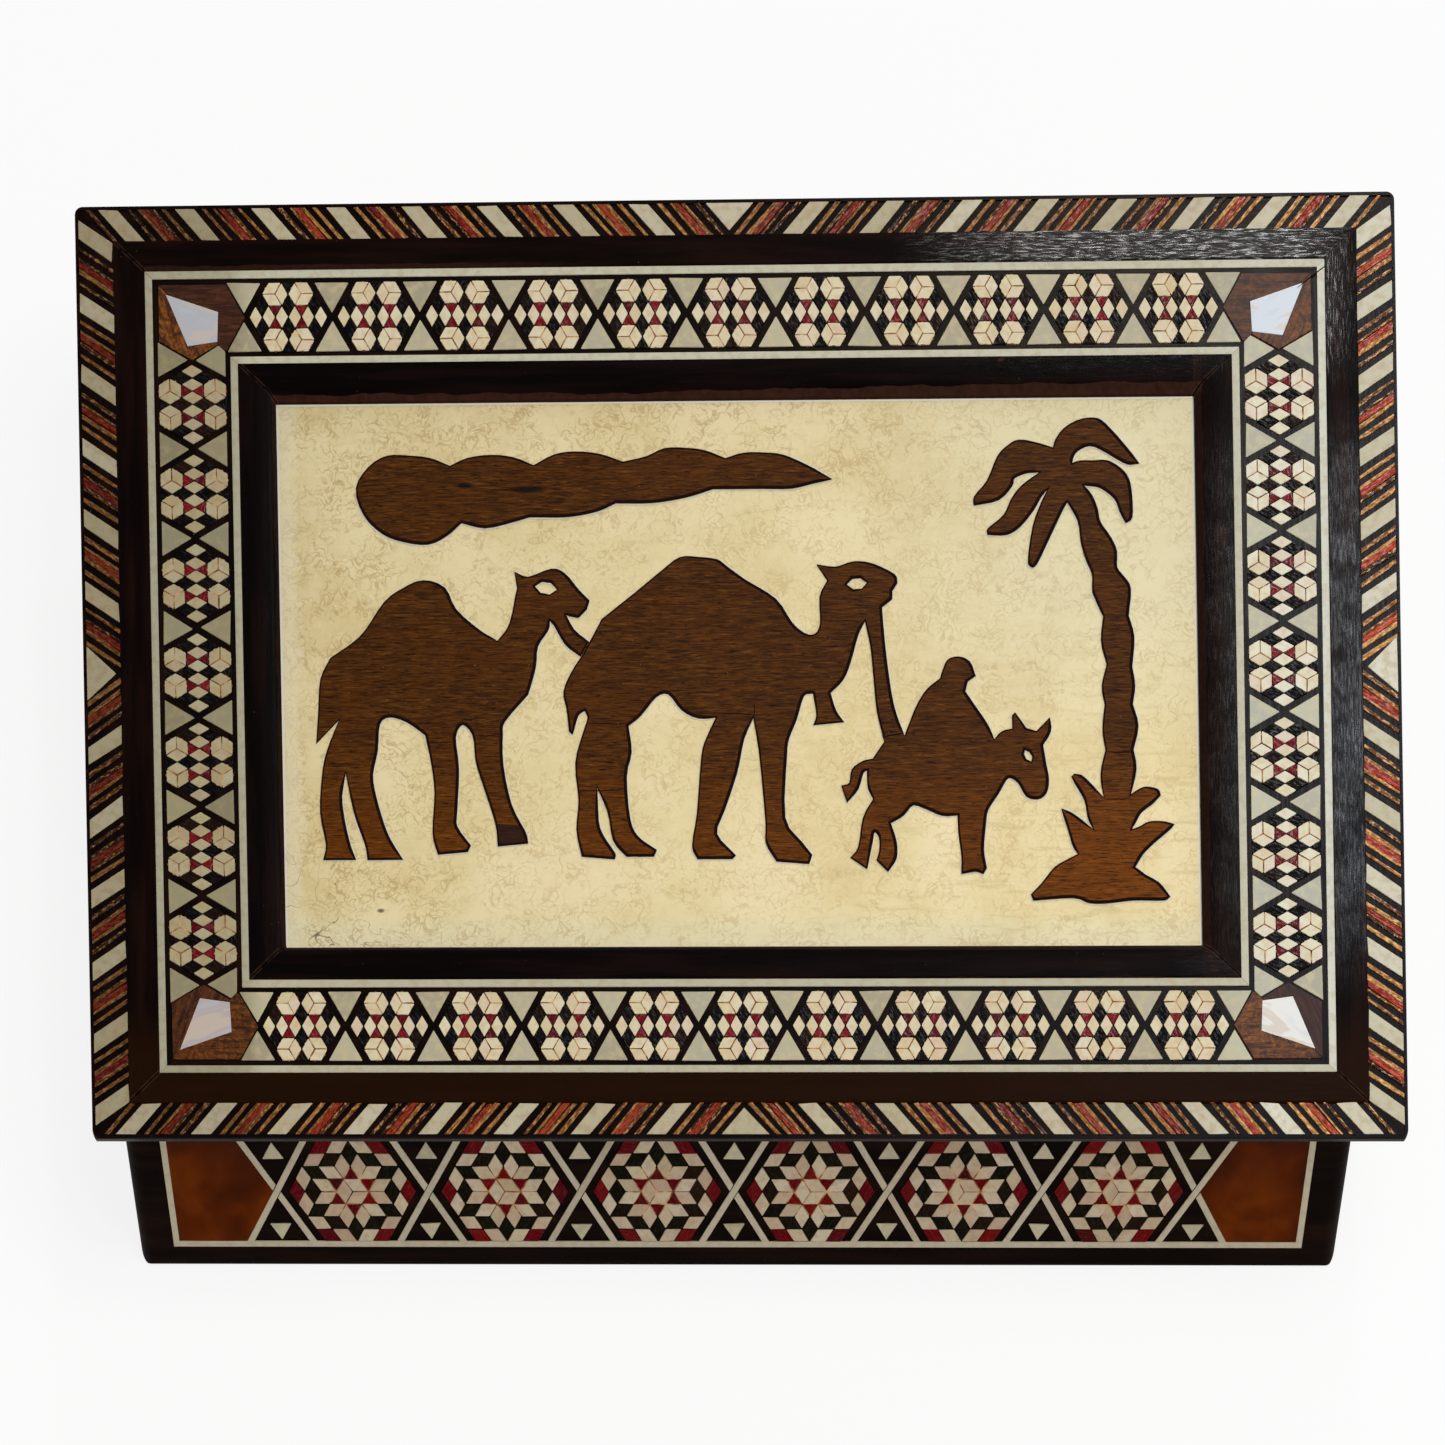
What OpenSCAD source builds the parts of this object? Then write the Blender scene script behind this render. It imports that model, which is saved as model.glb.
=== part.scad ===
// Inlaid wooden box with a hinged lid. Millimetres, +Z up, front towards -Y.
// The origin is the middle of the lid's outline, at the level the box stands on.

/* [Lid] */
// Width of the lid, left to right
lid_w = 250; // [230:1:290]
// Depth of the lid, front to back
lid_d = 176; // [160:1:200]
// Thickness of the lid's board
lid_board_t = 3.3; // [2.6:0.1:5]
// Radius of the lid's corners, seen from above
lid_corner_r = 1.5; // [0.8:0.1:3]
// How far the lid's edge slopes in under it
undercut_w = 3.7; // [2:0.1:3.9]
// Height of the upright lip above the undercut
lip_h = 0.3; // [0.2:0.05:0.6]
// Width of the thin ebony edging round the lid
edging_w = 1; // [1:0.1:1.5]
// Width of the striped border on the left and right
stripe_side_w = 6.2; // [4:0.1:8]
// Width of the striped border at the front and back
stripe_front_w = 5.6; // [3:0.1:7]
// Width of the outer ebony frame on the left and right
outer_frame_side_w = 6; // [5:0.1:9]
// Width of the outer ebony frame at the front and back
outer_frame_front_w = 5.7; // [5:0.1:9]
// Width of the inner ebony frame on the left and right
inner_frame_side_w = 7.1; // [5:0.1:9]
// Width of the inner ebony frame at the front and back
inner_frame_front_w = 6.6; // [5:0.1:9]
// Thickness of both ebony frames
frame_t = 1.7; // [1.6:0.05:2.5]
// Width of the bone lines along the mosaic
line_w = 1.4; // [0.8:0.1:2]
// Width of the black margin between a bone line and the mosaic
margin_w = 0.9; // [0.4:0.1:1.5]
// Thickness of the striped border, the bone lines and the mosaic with its bed
inlay_t = 1.5; // [1:0.05:1.5]
// Thickness of the cream picture panel
panel_t = 0.4; // [0.3:0.05:0.6]

/* [Lid mosaic] */
// Side of one mosaic rhomb on the lid
cube_side = 2.5; // [2.2:0.05:2.8]
// Length of one motif with its black outline, along the band
motif_pitch = 16.87; // [16.4:0.01:19]
// Height of the bone triangles between the motifs
filler_h = 5.8; // [4:0.1:6]
// Half of the gap between neighbouring mosaic pieces
joint_gap = 0.1; // [0.05:0.01:0.15]
// How far the mosaic pieces stand above the black bed
proud = 0.15; // [0.1:0.01:0.3]

/* [Striped border] */
// Length of one repeat of the stripes at the front and back
stripe_front_pitch = 14.5; // [12:0.1:18]
// Length of one repeat of the stripes on the left and right
stripe_side_pitch = 13.6; // [11:0.1:16]
// Slant of the stripes at the front and back: length along the border per width
stripe_front_slant = 0.94; // [0.6:0.01:1]
// Slant of the stripes on the left and right
stripe_side_slant = 0.72; // [0.6:0.01:1]

/* [Case] */
// How far the lid overhangs the case on the left and right
overhang_side = 7; // [5:0.5:12]
// How far the lid overhangs the case at the front and back
overhang_front = 7.5; // [7:0.5:12]
// Height of the case, without the lid
case_h = 31.4; // [27:0.1:60]
// Sideways offset of the case under the lid, from fitting by hand
case_shift = -2; // [-3:0.5:3]
// Thickness of the wooden walls
wall_t = 6; // [5:0.1:9]
// Thickness of the ebony and mosaic facing on the walls
facing_t = 1.2; // [1:0.05:1.6]
// Thickness of the bottom board
bottom_t = 3.5; // [3:0.1:6]
// Height of the ebony band below the star field
base_band_h = 4.6; // [3:0.1:8]
// Height of the ebony band above the star field
top_band_h = 2.8; // [1.5:0.1:8]
// Width of the ebony posts at the ends of each side
post_w = 6.9; // [4:0.1:10]
// Width of the bone line round the star field
case_line_w = 1.2; // [0.8:0.1:1.6]

/* [Star mosaic] */
// Gap between the tips of neighbouring stars, where the bone lines cross
star_gap = 4.85; // [4.2:0.05:7]
// Width of the crossing bone lines between the stars
string_w = 1.2; // [0.8:0.05:1.5]
// Half of the black width beside a crossing line
string_margin = 0.9; // [0.6:0.05:1]
// Black gap between the through line and the two halves of the other
string_gap = 0.2; // [0.1:0.05:0.4]

/* [Lining] */
// Thickness of the velvet on card inside the walls
lining_t = 1; // [0.8:0.1:2]
// Thickness of the velvet pad on the floor
floor_pad_t = 2; // [1.5:0.1:4]
// Thickness of the velvet pad under the lid
lid_pad_t = 1; // [0.8:0.1:2]
// Gap between the lid's pad and the lining round it
pad_gap = 1.5; // [1.2:0.1:4]
// Distance from the rim down to the top of the wall lining
lining_drop = 1.6; // [1.5:0.1:4]

/* [Hinges] */
// Distance of each hinge's middle from the case's middle
hinge_x = 70; // [50:1:85]
// Length of a hinge leaf
leaf_l = 20; // [16:0.5:26]
// Width of a hinge leaf on the wood
leaf_w = 6.2; // [5.8:0.1:6.8]
// Thickness of a hinge leaf
leaf_t = 0.8; // [0.6:0.05:1]
// Radius of the hinge knuckles
knuckle_r = 1.5; // [1.4:0.05:1.7]
// Radius of the hinge pins
pin_r = 0.6; // [0.5:0.05:0.7]
// Running clearance round the hinge pins
pin_gap = 0.05; // [0.03:0.01:0.08]
// Side gap between neighbouring knuckles
knuckle_gap = 0.15; // [0.1:0.05:0.3]
// Radius of the countersunk screw heads
screw_head_r = 1.5; // [1.3:0.05:1.7]
// Radius of the screw shanks
screw_r = 0.75; // [0.6:0.05:0.9]
// Length of the screws that go into the back wall
case_screw_l = 7; // [5:0.1:9]
// Length of the screws that go into the lid's board
lid_screw_l = 2.7; // [2.2:0.1:3]

/* [Hidden] */
$fn = 32;

// Levels
seat_gap = 0.1;                          // the closed lid clears the rim by this much
lid_z = case_h + seat_gap;               // underside of the lid
deck_z = lid_z + lid_board_t;            // top of the lid's board
inlay_z = deck_z + inlay_t;              // face of the lid's inlay

// Rings on the lid, measured inwards from its edge: x on the sides, y at front and back
stripe_ring = [stripe_side_w, stripe_front_w];
outer_frame_ring = [outer_frame_side_w, outer_frame_front_w];
inner_frame_ring = [inner_frame_side_w, inner_frame_front_w];
at_stripe = [edging_w, edging_w];
at_outer_frame = at_stripe + stripe_ring;
at_outer_line = at_outer_frame + outer_frame_ring;
at_outer_margin = at_outer_line + [line_w, line_w];
at_band = at_outer_margin + [margin_w, margin_w];
band_w = 3 * sqrt(3) * cube_side;        // three rows of rhombs
at_inner_margin = at_band + [band_w, band_w];
at_inner_line = at_inner_margin + [margin_w, margin_w];
at_inner_frame = at_inner_line + [line_w, line_w];
at_panel = at_inner_frame + inner_frame_ring;
lid_half = [lid_w / 2, lid_d / 2];
case_half = lid_half - [overhang_side, overhang_front];

// Star field on the case's sides: eight rows of rhombs fill its height
row_h = sqrt(3) / 2;                     // height of a row of rhombs with a side of 1
field_z = base_band_h + case_line_w;     // lower edge of the star field
star_h = case_h - top_band_h - case_line_w - field_z;
star_side = star_h / (8 * row_h);
star_pitch = 8 * star_side + star_gap;
field_mid_z = field_z + star_h / 2;

// Hinge line: at the parting level, just behind the back facing
hinge_skin_gap = 0.1;                    // air between a knuckle and the facing
axis_y = case_half[1] + knuckle_r + hinge_skin_gap;
axis_z = case_h + seat_gap / 2;
knuckle_l = (leaf_l - 2 * knuckle_gap) / 3;
pin_head_r = pin_r + 0.35;
pin_head_t = 0.4;
leaf_fit = 0.1;                          // air round a leaf in its mortise
pocket_air = 0.25;                       // air round the knuckles in the lid's pocket
screw_x = leaf_l / 4;                    // screws sit a quarter of the leaf from its middle
screw_in = leaf_w / 2 + 0.6;             // and this far in from the back facing
screw_head_h = screw_head_r - screw_r;   // a 90 degree head, just inside the leaf
shank_gap = 0.02;
slot_w = 0.4;
slot_deep = 0.3;

ebony = [0.09, 0.06, 0.06];
bone = [0.85, 0.82, 0.68];
grey_bone = [0.68, 0.65, 0.54];
crimson = [0.5, 0.06, 0.1];
walnut = [0.33, 0.18, 0.09];
brass = [0.78, 0.6, 0.28];
velvet = [0.42, 0.05, 0.09];

// Plane geometry of the inlay: convex polygons, counter-clockwise
function unit(v) = v / norm(v);
function side_of(p, a, b) = cross(b - a, p - a);
function crossing(p, q, a, b) =
    p + (q - p) * side_of(p, a, b) / (side_of(p, a, b) - side_of(q, a, b));
// The part of a polygon to the left of the line from a to b
function clip(poly, a, b) = [
    for (i = [0:1:len(poly) - 1])
        let (p = poly[i], q = poly[(i + 1) % len(poly)], sp = side_of(p, a, b), sq = side_of(q, a, b))
            each concat(sp >= 0 ? [p] : [], sp * sq < 0 ? [crossing(p, q, a, b)] : [])];
// The part of a polygon inside every edge of a convex region
function clip_to(poly, region, i = 0) =
    i == len(region) || len(poly) < 3 ? poly
    : clip_to(clip(poly, region[i], region[(i + 1) % len(region)]), region, i + 1);
function without_doubles(poly) = [
    for (i = [0:1:len(poly) - 1]) if (norm(poly[i] - poly[(i + 1) % len(poly)]) > 0.05) poly[i]];
function area(poly) = len(poly) < 3 ? 0
    : [for (i = [0:len(poly) - 1]) cross(poly[i], poly[(i + 1) % len(poly)])]
        * [for (i = [0:len(poly) - 1]) 0.5];
// Every edge moved inwards by e
function inset(poly, e) = [
    for (i = [0:1:len(poly) - 1])
        let (n = len(poly), b = poly[i], u = unit(b - poly[(i + n - 1) % n]), v = unit(poly[(i + 1) % n] - b))
            b + (v - u) * e / cross(u, v)];
function turn(p, a) = [p[0] * cos(a) - p[1] * sin(a), p[0] * sin(a) + p[1] * cos(a)];
function turned(poly, a) = [for (p = poly) turn(p, a)];
function moved(poly, by) = [for (p = poly) p + by];
function mirrored(poly) = [for (i = [len(poly) - 1:-1:0]) [-poly[i][0], poly[i][1]]];
// A rhomb that stands on its 60 degree corner, centred on c
function rhomb(c) = [c + [0.5, 0], c + [0, row_h], c + [-0.5, 0], c + [0, -row_h]];

// Thin solids from a list of polygons, each with its share of the joint
module pieces(polys, t, e = joint_gap) {
    for (p = polys) linear_extrude(t) polygon(inset(p, e));
}

module slab(half, z, t) { translate([-half[0], -half[1], z]) cube([2 * half[0], 2 * half[1], t]); }

// Side k of a rectangle with the given half sizes, seen from outside: 0 front, 1 right, 2 back,
// 3 left. x runs along the side, y points inwards from it.
function along(half, k) = 2 * half[k % 2];
function across(half, k) = half[(k + 1) % 2];
function in_from(ring, k) = ring[(k + 1) % 2];
module at_side(half, k) {
    rotate([0, 0, 90 * k]) translate([0, -across(half, k), 0]) children();
}

// Outline of the mitred side k of a ring; w_end is the width of its neighbours
mitre_gap = 0.02;
function mitred(half, k, w, w_end) =
    let (x = along(half, k) / 2 - mitre_gap) [[-x, 0], [x, 0], [x - w_end, w], [w_end - x, w]];
// Four flat sides of a ring on the lid
module flat_ring(inset_from, ring, t) {
    half = lid_half - inset_from;
    for (k = [0:3]) at_side(half, k) linear_extrude(t)
        polygon(mitred(half, k, in_from(ring, k), in_from(ring, k + 1)));
}
// One side of a frame with a shaped section, drawn inwards and up
module rail(inset_from, ring, k, section) {
    half = lid_half - inset_from;
    at_side(half, k) intersection() {
        rotate([90, 0, 90]) linear_extrude(along(half, k), center = true) polygon(section);
        linear_extrude(2 * frame_t) polygon(mitred(half, k, in_from(ring, k), in_from(ring, k + 1)));
    }
}

// ---- Case ----

module on_case() { translate([case_shift, 0, 0]) children(); }

module bottom_board() {
    in = facing_t + wall_t;
    color("sienna") on_case() slab(case_half - [in, in], 0, bottom_t);
}

// Mortises for the hinge leaves, cut down from the rim of the back
module leaf_mortises() {
    for (s = [-1, 1])
        translate([s * hinge_x - leaf_l / 2 - leaf_fit, case_half[1] - leaf_w - leaf_fit, case_h - leaf_t])
            cube([leaf_l + 2 * leaf_fit, leaf_w + leaf_fit + 1, leaf_t + 1]);
}

module at_case_screws() {
    for (s = [-1, 1], t = [-1, 1])
        translate([s * hinge_x + t * screw_x, case_half[1] - screw_in, case_h]) children();
}

module long_wall(s) {
    on_case() translate([0, s * (case_half[1] - facing_t - wall_t / 2), case_h / 2])
        cube([2 * (case_half[0] - facing_t), wall_t, case_h], center = true);
}

module end_wall(s) {
    on_case() translate([s * (case_half[0] - facing_t - wall_t / 2), 0, case_h / 2])
        cube([wall_t, 2 * (case_half[1] - facing_t - wall_t), case_h], center = true);
}

module front_wall() { color("peru") long_wall(-1); }

module back_wall() {
    color("peru") difference() {
        long_wall(1);
        on_case() leaf_mortises();
        on_case() at_case_screws() translate([0, 0, -case_screw_l])
            cylinder(r = screw_r + shank_gap, h = case_screw_l);
    }
}

module left_wall() { color("peru") end_wall(-1); }
module right_wall() { color("peru") end_wall(1); }

// What a quarter round of radius r takes off an edge along X
module edge_cutter(l, r) {
    difference() {
        translate([-l / 2, -1, -1]) cube([l, r + 1, r + 1]);
        translate([-l / 2 - 1, r, r]) rotate([0, 90, 0]) cylinder(r = r, h = l + 2);
    }
}

// Ebony facing of side k: mitred at the corners, rounded at the foot, open for the star field
module facing(k) {
    l = along(case_half, k);
    field_l = l - 2 * post_w;
    color(ebony) difference() {
        on_case() at_side(case_half, k) difference() {
            linear_extrude(case_h)
                polygon([[-l / 2, 0], [l / 2, 0], [l / 2 - facing_t, facing_t], [facing_t - l / 2, facing_t]]);
            edge_cutter(l + 1, facing_t);
            for (s = [-1, 1]) translate([s * l / 2, 0, case_h / 2])
                rotate([0, 90, s > 0 ? 90 : 0]) edge_cutter(case_h + 1, facing_t);
            translate([-field_l / 2, -1, base_band_h])
                cube([field_l, facing_t + 2, star_h + 2 * case_line_w]);
        }
        if (k == 2) on_case() leaf_mortises();
    }
}

module front_facing() { facing(0); }
module right_facing() { facing(1); }
module back_facing() { facing(2); }
module left_facing() { facing(3); }

// Puts a flat drawing on side k of the case, its y up and its face outwards
module on_side_face(k, depth) {
    on_case() at_side(case_half, k) translate([0, depth, field_mid_z]) rotate([90, 0, 0]) children();
}

function half_field(k) = along(case_half, k) / 2 - post_w - case_line_w;
function star_count(k) = floor((2 * half_field(k) - 2 * post_w) / star_pitch);
function star_xs(k) = [for (i = [0:1:star_count(k) - 1]) (i - (star_count(k) - 1) / 2) * star_pitch];
function crossing_xs(k) = [for (i = [0:1:star_count(k)]) (i - star_count(k) / 2) * star_pitch];

// Bone line round each star field, four mitred strips to a side
module case_lines() {
    color(bone) for (k = [0:3]) on_side_face(k, facing_t) {
        x = half_field(k);
        y = star_h / 2;
        w = case_line_w;
        for (s = [0, 180]) rotate([0, 0, s]) {
            linear_extrude(facing_t) polygon([[-x - w, -y - w], [x + w, -y - w], [x, -y], [-x, -y]]);
            linear_extrude(facing_t) polygon([[x + w, -y - w], [x + w, y + w], [x, y], [x, -y]]);
        }
    }
}

module star_beds() {
    color(ebony) for (k = [0:3]) on_side_face(k, facing_t)
        linear_extrude(facing_t - proud) square([2 * half_field(k), star_h], center = true);
}

// One sixth of a star, in units of its rhomb's side
star_bone_sixth = [
    [[1, 0], [1.5, -row_h], [2.5, -row_h], [2, 0]], [[1, 0], [2, 0], [2.5, row_h], [1.5, row_h]],
    rhomb([3, row_h]), rhomb([3, -row_h])];
star_red_sixth = [
    [[0.5, row_h], [1, 0], [1.5, row_h]],
    rhomb([3.5, 0])];
// The cube in a star's middle: three rhombs round one point
cube_thirds = [
    for (a = [60, 180, 300]) turned([[0, 0], turn([1, 0], -60), [1, 0], turn([1, 0], 60)], a)];

function star_slice(sixth) = [for (a = [0:60:300], p = sixth) turned(p, a)];
// A polygon is kept where it stays inside the star's own hexagon
star_hexagon = [for (a = [0:60:300]) 4 * turn([1, 0], a)];
function on_stars(k, sixth) = [
    for (x = star_xs(k), p = star_slice(sixth))
        let (q = without_doubles(clip_to(p, star_hexagon)))
            if (len(q) > 2 && area(q) > 0.1) moved([for (v = q) v * star_side], [x, 0])];

module star_bone() {
    color(bone) for (k = [0:3]) on_side_face(k, proud) {
        pieces(on_stars(k, star_bone_sixth), proud);
        for (x = star_xs(k))
            pieces([for (p = cube_thirds) moved([for (v = p) v * star_side], [x, 0])], proud);
    }
}

module star_red() {
    color(crimson) for (k = [0:3]) on_side_face(k, proud) pieces(on_stars(k, star_red_sixth), proud);
}

// Crossing bone lines: one runs through, the other stops on both sides of it
module string_cross(w) {
    y = star_h / 2;
    x = y / sqrt(3);
    a = w / sqrt(3);
    g = string_gap / 2;
    linear_extrude(proud) polygon([[-x - a, -y], [a - x, -y], [x + a, y], [x - a, y]]);
    for (s = [0, 180]) rotate([0, 0, s]) linear_extrude(proud)
        polygon([[-a - g, g * sqrt(3)], [-g, w + g * sqrt(3)], [a - x, y], [-x - a, y]]);
}

module star_strings() {
    color(bone) for (k = [0:3]) on_side_face(k, proud)
        for (x = crossing_xs(k)) translate([x, 0, 0]) string_cross(string_w);
}

// Small triangle above each crossing, and its mirror image below
function string_filler() =
    let (top = star_h / 2, apex = string_w + 2 * string_margin, h = (top - apex) / 2, b = h / sqrt(3))
        [[0, top - 0.2], [-b, top - h], [b, top - h]];

module star_fillers() {
    color(grey_bone) for (k = [0:3]) on_side_face(k, proud)
        for (x = crossing_xs(k), s = [0, 180]) translate([x, 0, 0]) rotate([0, 0, s])
            pieces([string_filler()], proud);
}

// Warm brown panel between the last crossing and the end of the field
module end_panels() {
    y = star_h / 2;
    lean = y / sqrt(3);
    line = string_w / sqrt(3);
    color("saddlebrown") for (k = [0:3]) on_side_face(k, proud) {
        x_end = half_field(k);
        x_tip = star_count(k) / 2 * star_pitch + line;
        for (s = [0, 180]) rotate([0, 0, s])
            pieces([[[x_tip, 0], [x_tip + lean, -y], [x_end, -y], [x_end, y], [x_tip + lean, y]]],
                proud, joint_gap / 2);
    }
}

// Velvet on card inside the case
module lining(k) {
    inner = case_half - [facing_t + wall_t, facing_t + wall_t];
    l = along(inner, k);
    h = case_h - lining_drop - bottom_t;
    t = lining_t;
    color(velvet) on_case() at_side(inner, k) translate([0, 0, bottom_t])
        linear_extrude(h) polygon([[-l / 2, 0], [l / 2, 0], [l / 2 - t, t], [t - l / 2, t]]);
}

module front_lining() { lining(0); }
module right_lining() { lining(1); }
module back_lining() { lining(2); }
module left_lining() { lining(3); }

module floor_lining() {
    in = facing_t + wall_t + lining_t;
    color(velvet) on_case() slab(case_half - [in, in], bottom_t, floor_pad_t);
}

// ---- Hinges ----

module along_axis() { translate([0, axis_y, axis_z]) rotate([0, 90, 0]) children(); }

// A leaf from the screws to the knuckles; its own knuckles are the ones numbered in own (0 to 2)
module leaf(s, plate_z, own, bore, heads_up) {
    x0 = s * hinge_x - leaf_l / 2;
    on_case() difference() {
        union() {
            translate([x0, case_half[1] - leaf_w, plate_z]) cube([leaf_l, leaf_w - hinge_skin_gap, leaf_t]);
            for (i = own) translate([x0 + i * (knuckle_l + knuckle_gap), 0, 0]) {
                translate([0, case_half[1] - 2 * hinge_skin_gap, plate_z])
                    cube([knuckle_l, axis_y - case_half[1] + 2 * hinge_skin_gap, leaf_t]);
                along_axis() cylinder(r = knuckle_r, h = knuckle_l);
            }
        }
        translate([x0 - 1, 0, 0]) along_axis() cylinder(r = bore, h = leaf_l + 2);
        for (t = [-1, 1]) translate([s * hinge_x + t * screw_x, case_half[1] - screw_in, plate_z]) {
            translate([0, 0, -1]) cylinder(r = screw_r + shank_gap, h = leaf_t + 2);
            translate([0, 0, heads_up ? leaf_t : 0]) scale([1, 1, heads_up ? 1 : -1])
                translate([0, 0, -screw_head_h]) cylinder(r1 = screw_r, r2 = screw_head_r, h = screw_head_h);
        }
    }
}

module left_hinge_case_leaf() { color(brass) leaf(-1, case_h - leaf_t, [0, 2], pin_r, true); }
module right_hinge_case_leaf() { color(brass) leaf(1, case_h - leaf_t, [0, 2], pin_r, true); }
module left_hinge_lid_leaf() { color(brass) leaf(-1, lid_z, [1], pin_r + pin_gap, false); }
module right_hinge_lid_leaf() { color(brass) leaf(1, lid_z, [1], pin_r + pin_gap, false); }

module hinge_pin(s) {
    color("goldenrod") on_case() translate([s * hinge_x, 0, 0]) {
        along_axis() cylinder(r = pin_r, h = leaf_l, center = true);
        for (t = [-1, 1]) translate([t * (leaf_l + pin_head_t) / 2, 0, 0])
            along_axis() cylinder(r = pin_head_r, h = pin_head_t, center = true);
    }
}

module left_hinge_pin() { hinge_pin(-1); }
module right_hinge_pin() { hinge_pin(1); }

// Countersunk screw, its head's face at z = 0, pointing down
module screw(l) {
    difference() {
        union() {
            translate([0, 0, -screw_head_h]) cylinder(r1 = screw_r, r2 = screw_head_r, h = screw_head_h);
            translate([0, 0, -l]) cylinder(r = screw_r, h = l - screw_head_h / 2);
        }
        cube([2 * screw_head_r + 1, slot_w, 2 * slot_deep], center = true);
    }
}

module case_hinge_screws() { color("goldenrod") on_case() at_case_screws() screw(case_screw_l); }

module at_lid_screws() {
    on_case() for (s = [-1, 1], t = [-1, 1])
        translate([s * hinge_x + t * screw_x, case_half[1] - screw_in, lid_z]) children();
}

module lid_hinge_screws() { color("goldenrod") at_lid_screws() mirror([0, 0, 1]) screw(lid_screw_l); }

// ---- Lid ----

// Everything the lid's outline allows: an upright lip over a sloping undercut
function lid_section(half) =
    let (top = frame_t + lid_board_t, lip = top - (frame_t - inlay_t) - lip_h)
        [[undercut_w - half, 0], [half - undercut_w, 0], [half, lip], [half, top], [-half, top], [-half, lip]];
module lid_envelope() {
    difference() {
        intersection() {
            translate([0, 0, lid_z]) rotate([90, 0, 90]) linear_extrude(lid_w, center = true)
                polygon(lid_section(lid_half[1]));
            translate([0, 0, lid_z]) rotate([90, 0, 0]) linear_extrude(lid_d, center = true)
                polygon(lid_section(lid_half[0]));
        }
        for (sx = [-1, 1], sy = [-1, 1]) scale([sx, sy, 1])
            translate([lid_half[0], lid_half[1], lid_z + lid_board_t / 2])
                rotate([0, 90, 180]) edge_cutter(2 * lid_board_t + 4, lid_corner_r);
    }
}
module lid_board() {
    knuckle_room = knuckle_r + pocket_air;
    pocket_l = leaf_l + 2 * (pin_head_t + pocket_air);
    color("peru") difference() {
        intersection() {
            lid_envelope();
            slab(lid_half, lid_z, lid_board_t);
        }
        on_case() for (s = [-1, 1]) {
            translate([s * hinge_x - leaf_l / 2 - leaf_fit, case_half[1] - leaf_w - leaf_fit, lid_z - 1])
                cube([leaf_l + 2 * leaf_fit, leaf_w + leaf_fit + knuckle_r, leaf_t + 1]);
            translate([s * hinge_x - pocket_l / 2, axis_y - knuckle_room, lid_z - 1])
                cube([pocket_l, 2 * knuckle_room, axis_z - lid_z + knuckle_room + 1]);
        }
        at_lid_screws() cylinder(r = screw_r + shank_gap, h = lid_screw_l);
    }
}

module lid_edging() {
    color(ebony) difference() {
        intersection() {
            lid_envelope();
            slab(lid_half, deck_z, inlay_t);
        }
        slab(lid_half - at_stripe, deck_z - 1, inlay_t + 2);
    }
}

// Striped border: an ebony bed with slanting bone, red and tan pieces let into it
module stripe_beds() {
    color(ebony) translate([0, 0, deck_z]) flat_ring(at_stripe, stripe_ring, inlay_t - proud);
}

// Widths in one repeat: a bone piece, then black and wood by turns, with red between two tans
stripe_widths = [3.5, 1.3, 0.95, 1.2, 1, 1.4, 0.7, 1.1, 0.9, 1.4];
bone_stripe = 0;
red_stripe = 5;
tan_stripes = [2, 4, 6, 8];
function total(v, n) = n == 0 ? 0 : v[n - 1] + total(v, n - 1);
function stripe_pitch(k) = k % 2 == 0 ? stripe_front_pitch : stripe_side_pitch;
function stripe_slant(k) = k % 2 == 0 ? stripe_front_slant : stripe_side_slant;

// Stripe n of each repeat, for the half of a border to the right of its middle
function slants(k, n) =
    let (w = in_from(stripe_ring, k), x_end = along(lid_half - at_stripe, k) / 2 - 2 * mitre_gap,
        w_end = in_from(stripe_ring, k + 1), pitch = stripe_pitch(k), lean = w * stripe_slant(k),
        share = pitch / total(stripe_widths, len(stripe_widths)),
        start = (lean - share * stripe_widths[bone_stripe]) / 2,
        region = [[0, 0], [x_end, 0], [x_end - w_end, w], [0, w]])
        [for (i = [(n == bone_stripe ? 1 : 0):1:ceil(x_end / pitch)])
            let (x0 = start + i * pitch + share * total(stripe_widths, n), x1 = x0 + share * stripe_widths[n],
                q = without_doubles(clip_to([[x0, 0], [x1, 0], [x1 - lean, w], [x0 - lean, w]], region)))
                if (len(q) > 2 && area(q) > 0.4) q];

module on_border(k) {
    at_side(lid_half - at_stripe, k) translate([0, 0, inlay_z - proud]) children();
}
module both_halves(k, n) {
    on_border(k) {
        pieces(slants(k, n), proud, joint_gap / 2);
        pieces([for (p = slants(k, n)) mirrored(p)], proud, joint_gap / 2);
    }
}

// A bone triangle stands in the middle of each side
module stripe_bone() {
    color(bone) for (k = [0:3]) {
        h = 0.86 * in_from(stripe_ring, k);
        both_halves(k, bone_stripe);
        on_border(k) pieces([[[-h, 0], [h, 0], [0, h]]], proud, joint_gap / 2);
    }
}
module stripe_red() { color("firebrick") for (k = [0:3]) both_halves(k, red_stripe); }
module stripe_tan() { color("burlywood") for (k = [0:3], n = tan_stripes) both_halves(k, n); }

// Ebony frames with eased edges; the inner one slopes down to the picture
frame_ease = 0.2;
inner_slope_w = 1.6;
inner_step_h = 0.9;

module outer_frame() {
    e = frame_ease;
    color(ebony) translate([0, 0, deck_z]) for (k = [0:3]) {
        w = in_from(outer_frame_ring, k);
        rail(at_outer_frame, outer_frame_ring, k,
            [[0, 0], [w, 0], [w, frame_t - e], [w - e, frame_t], [e, frame_t], [0, frame_t - e]]);
    }
}

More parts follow.
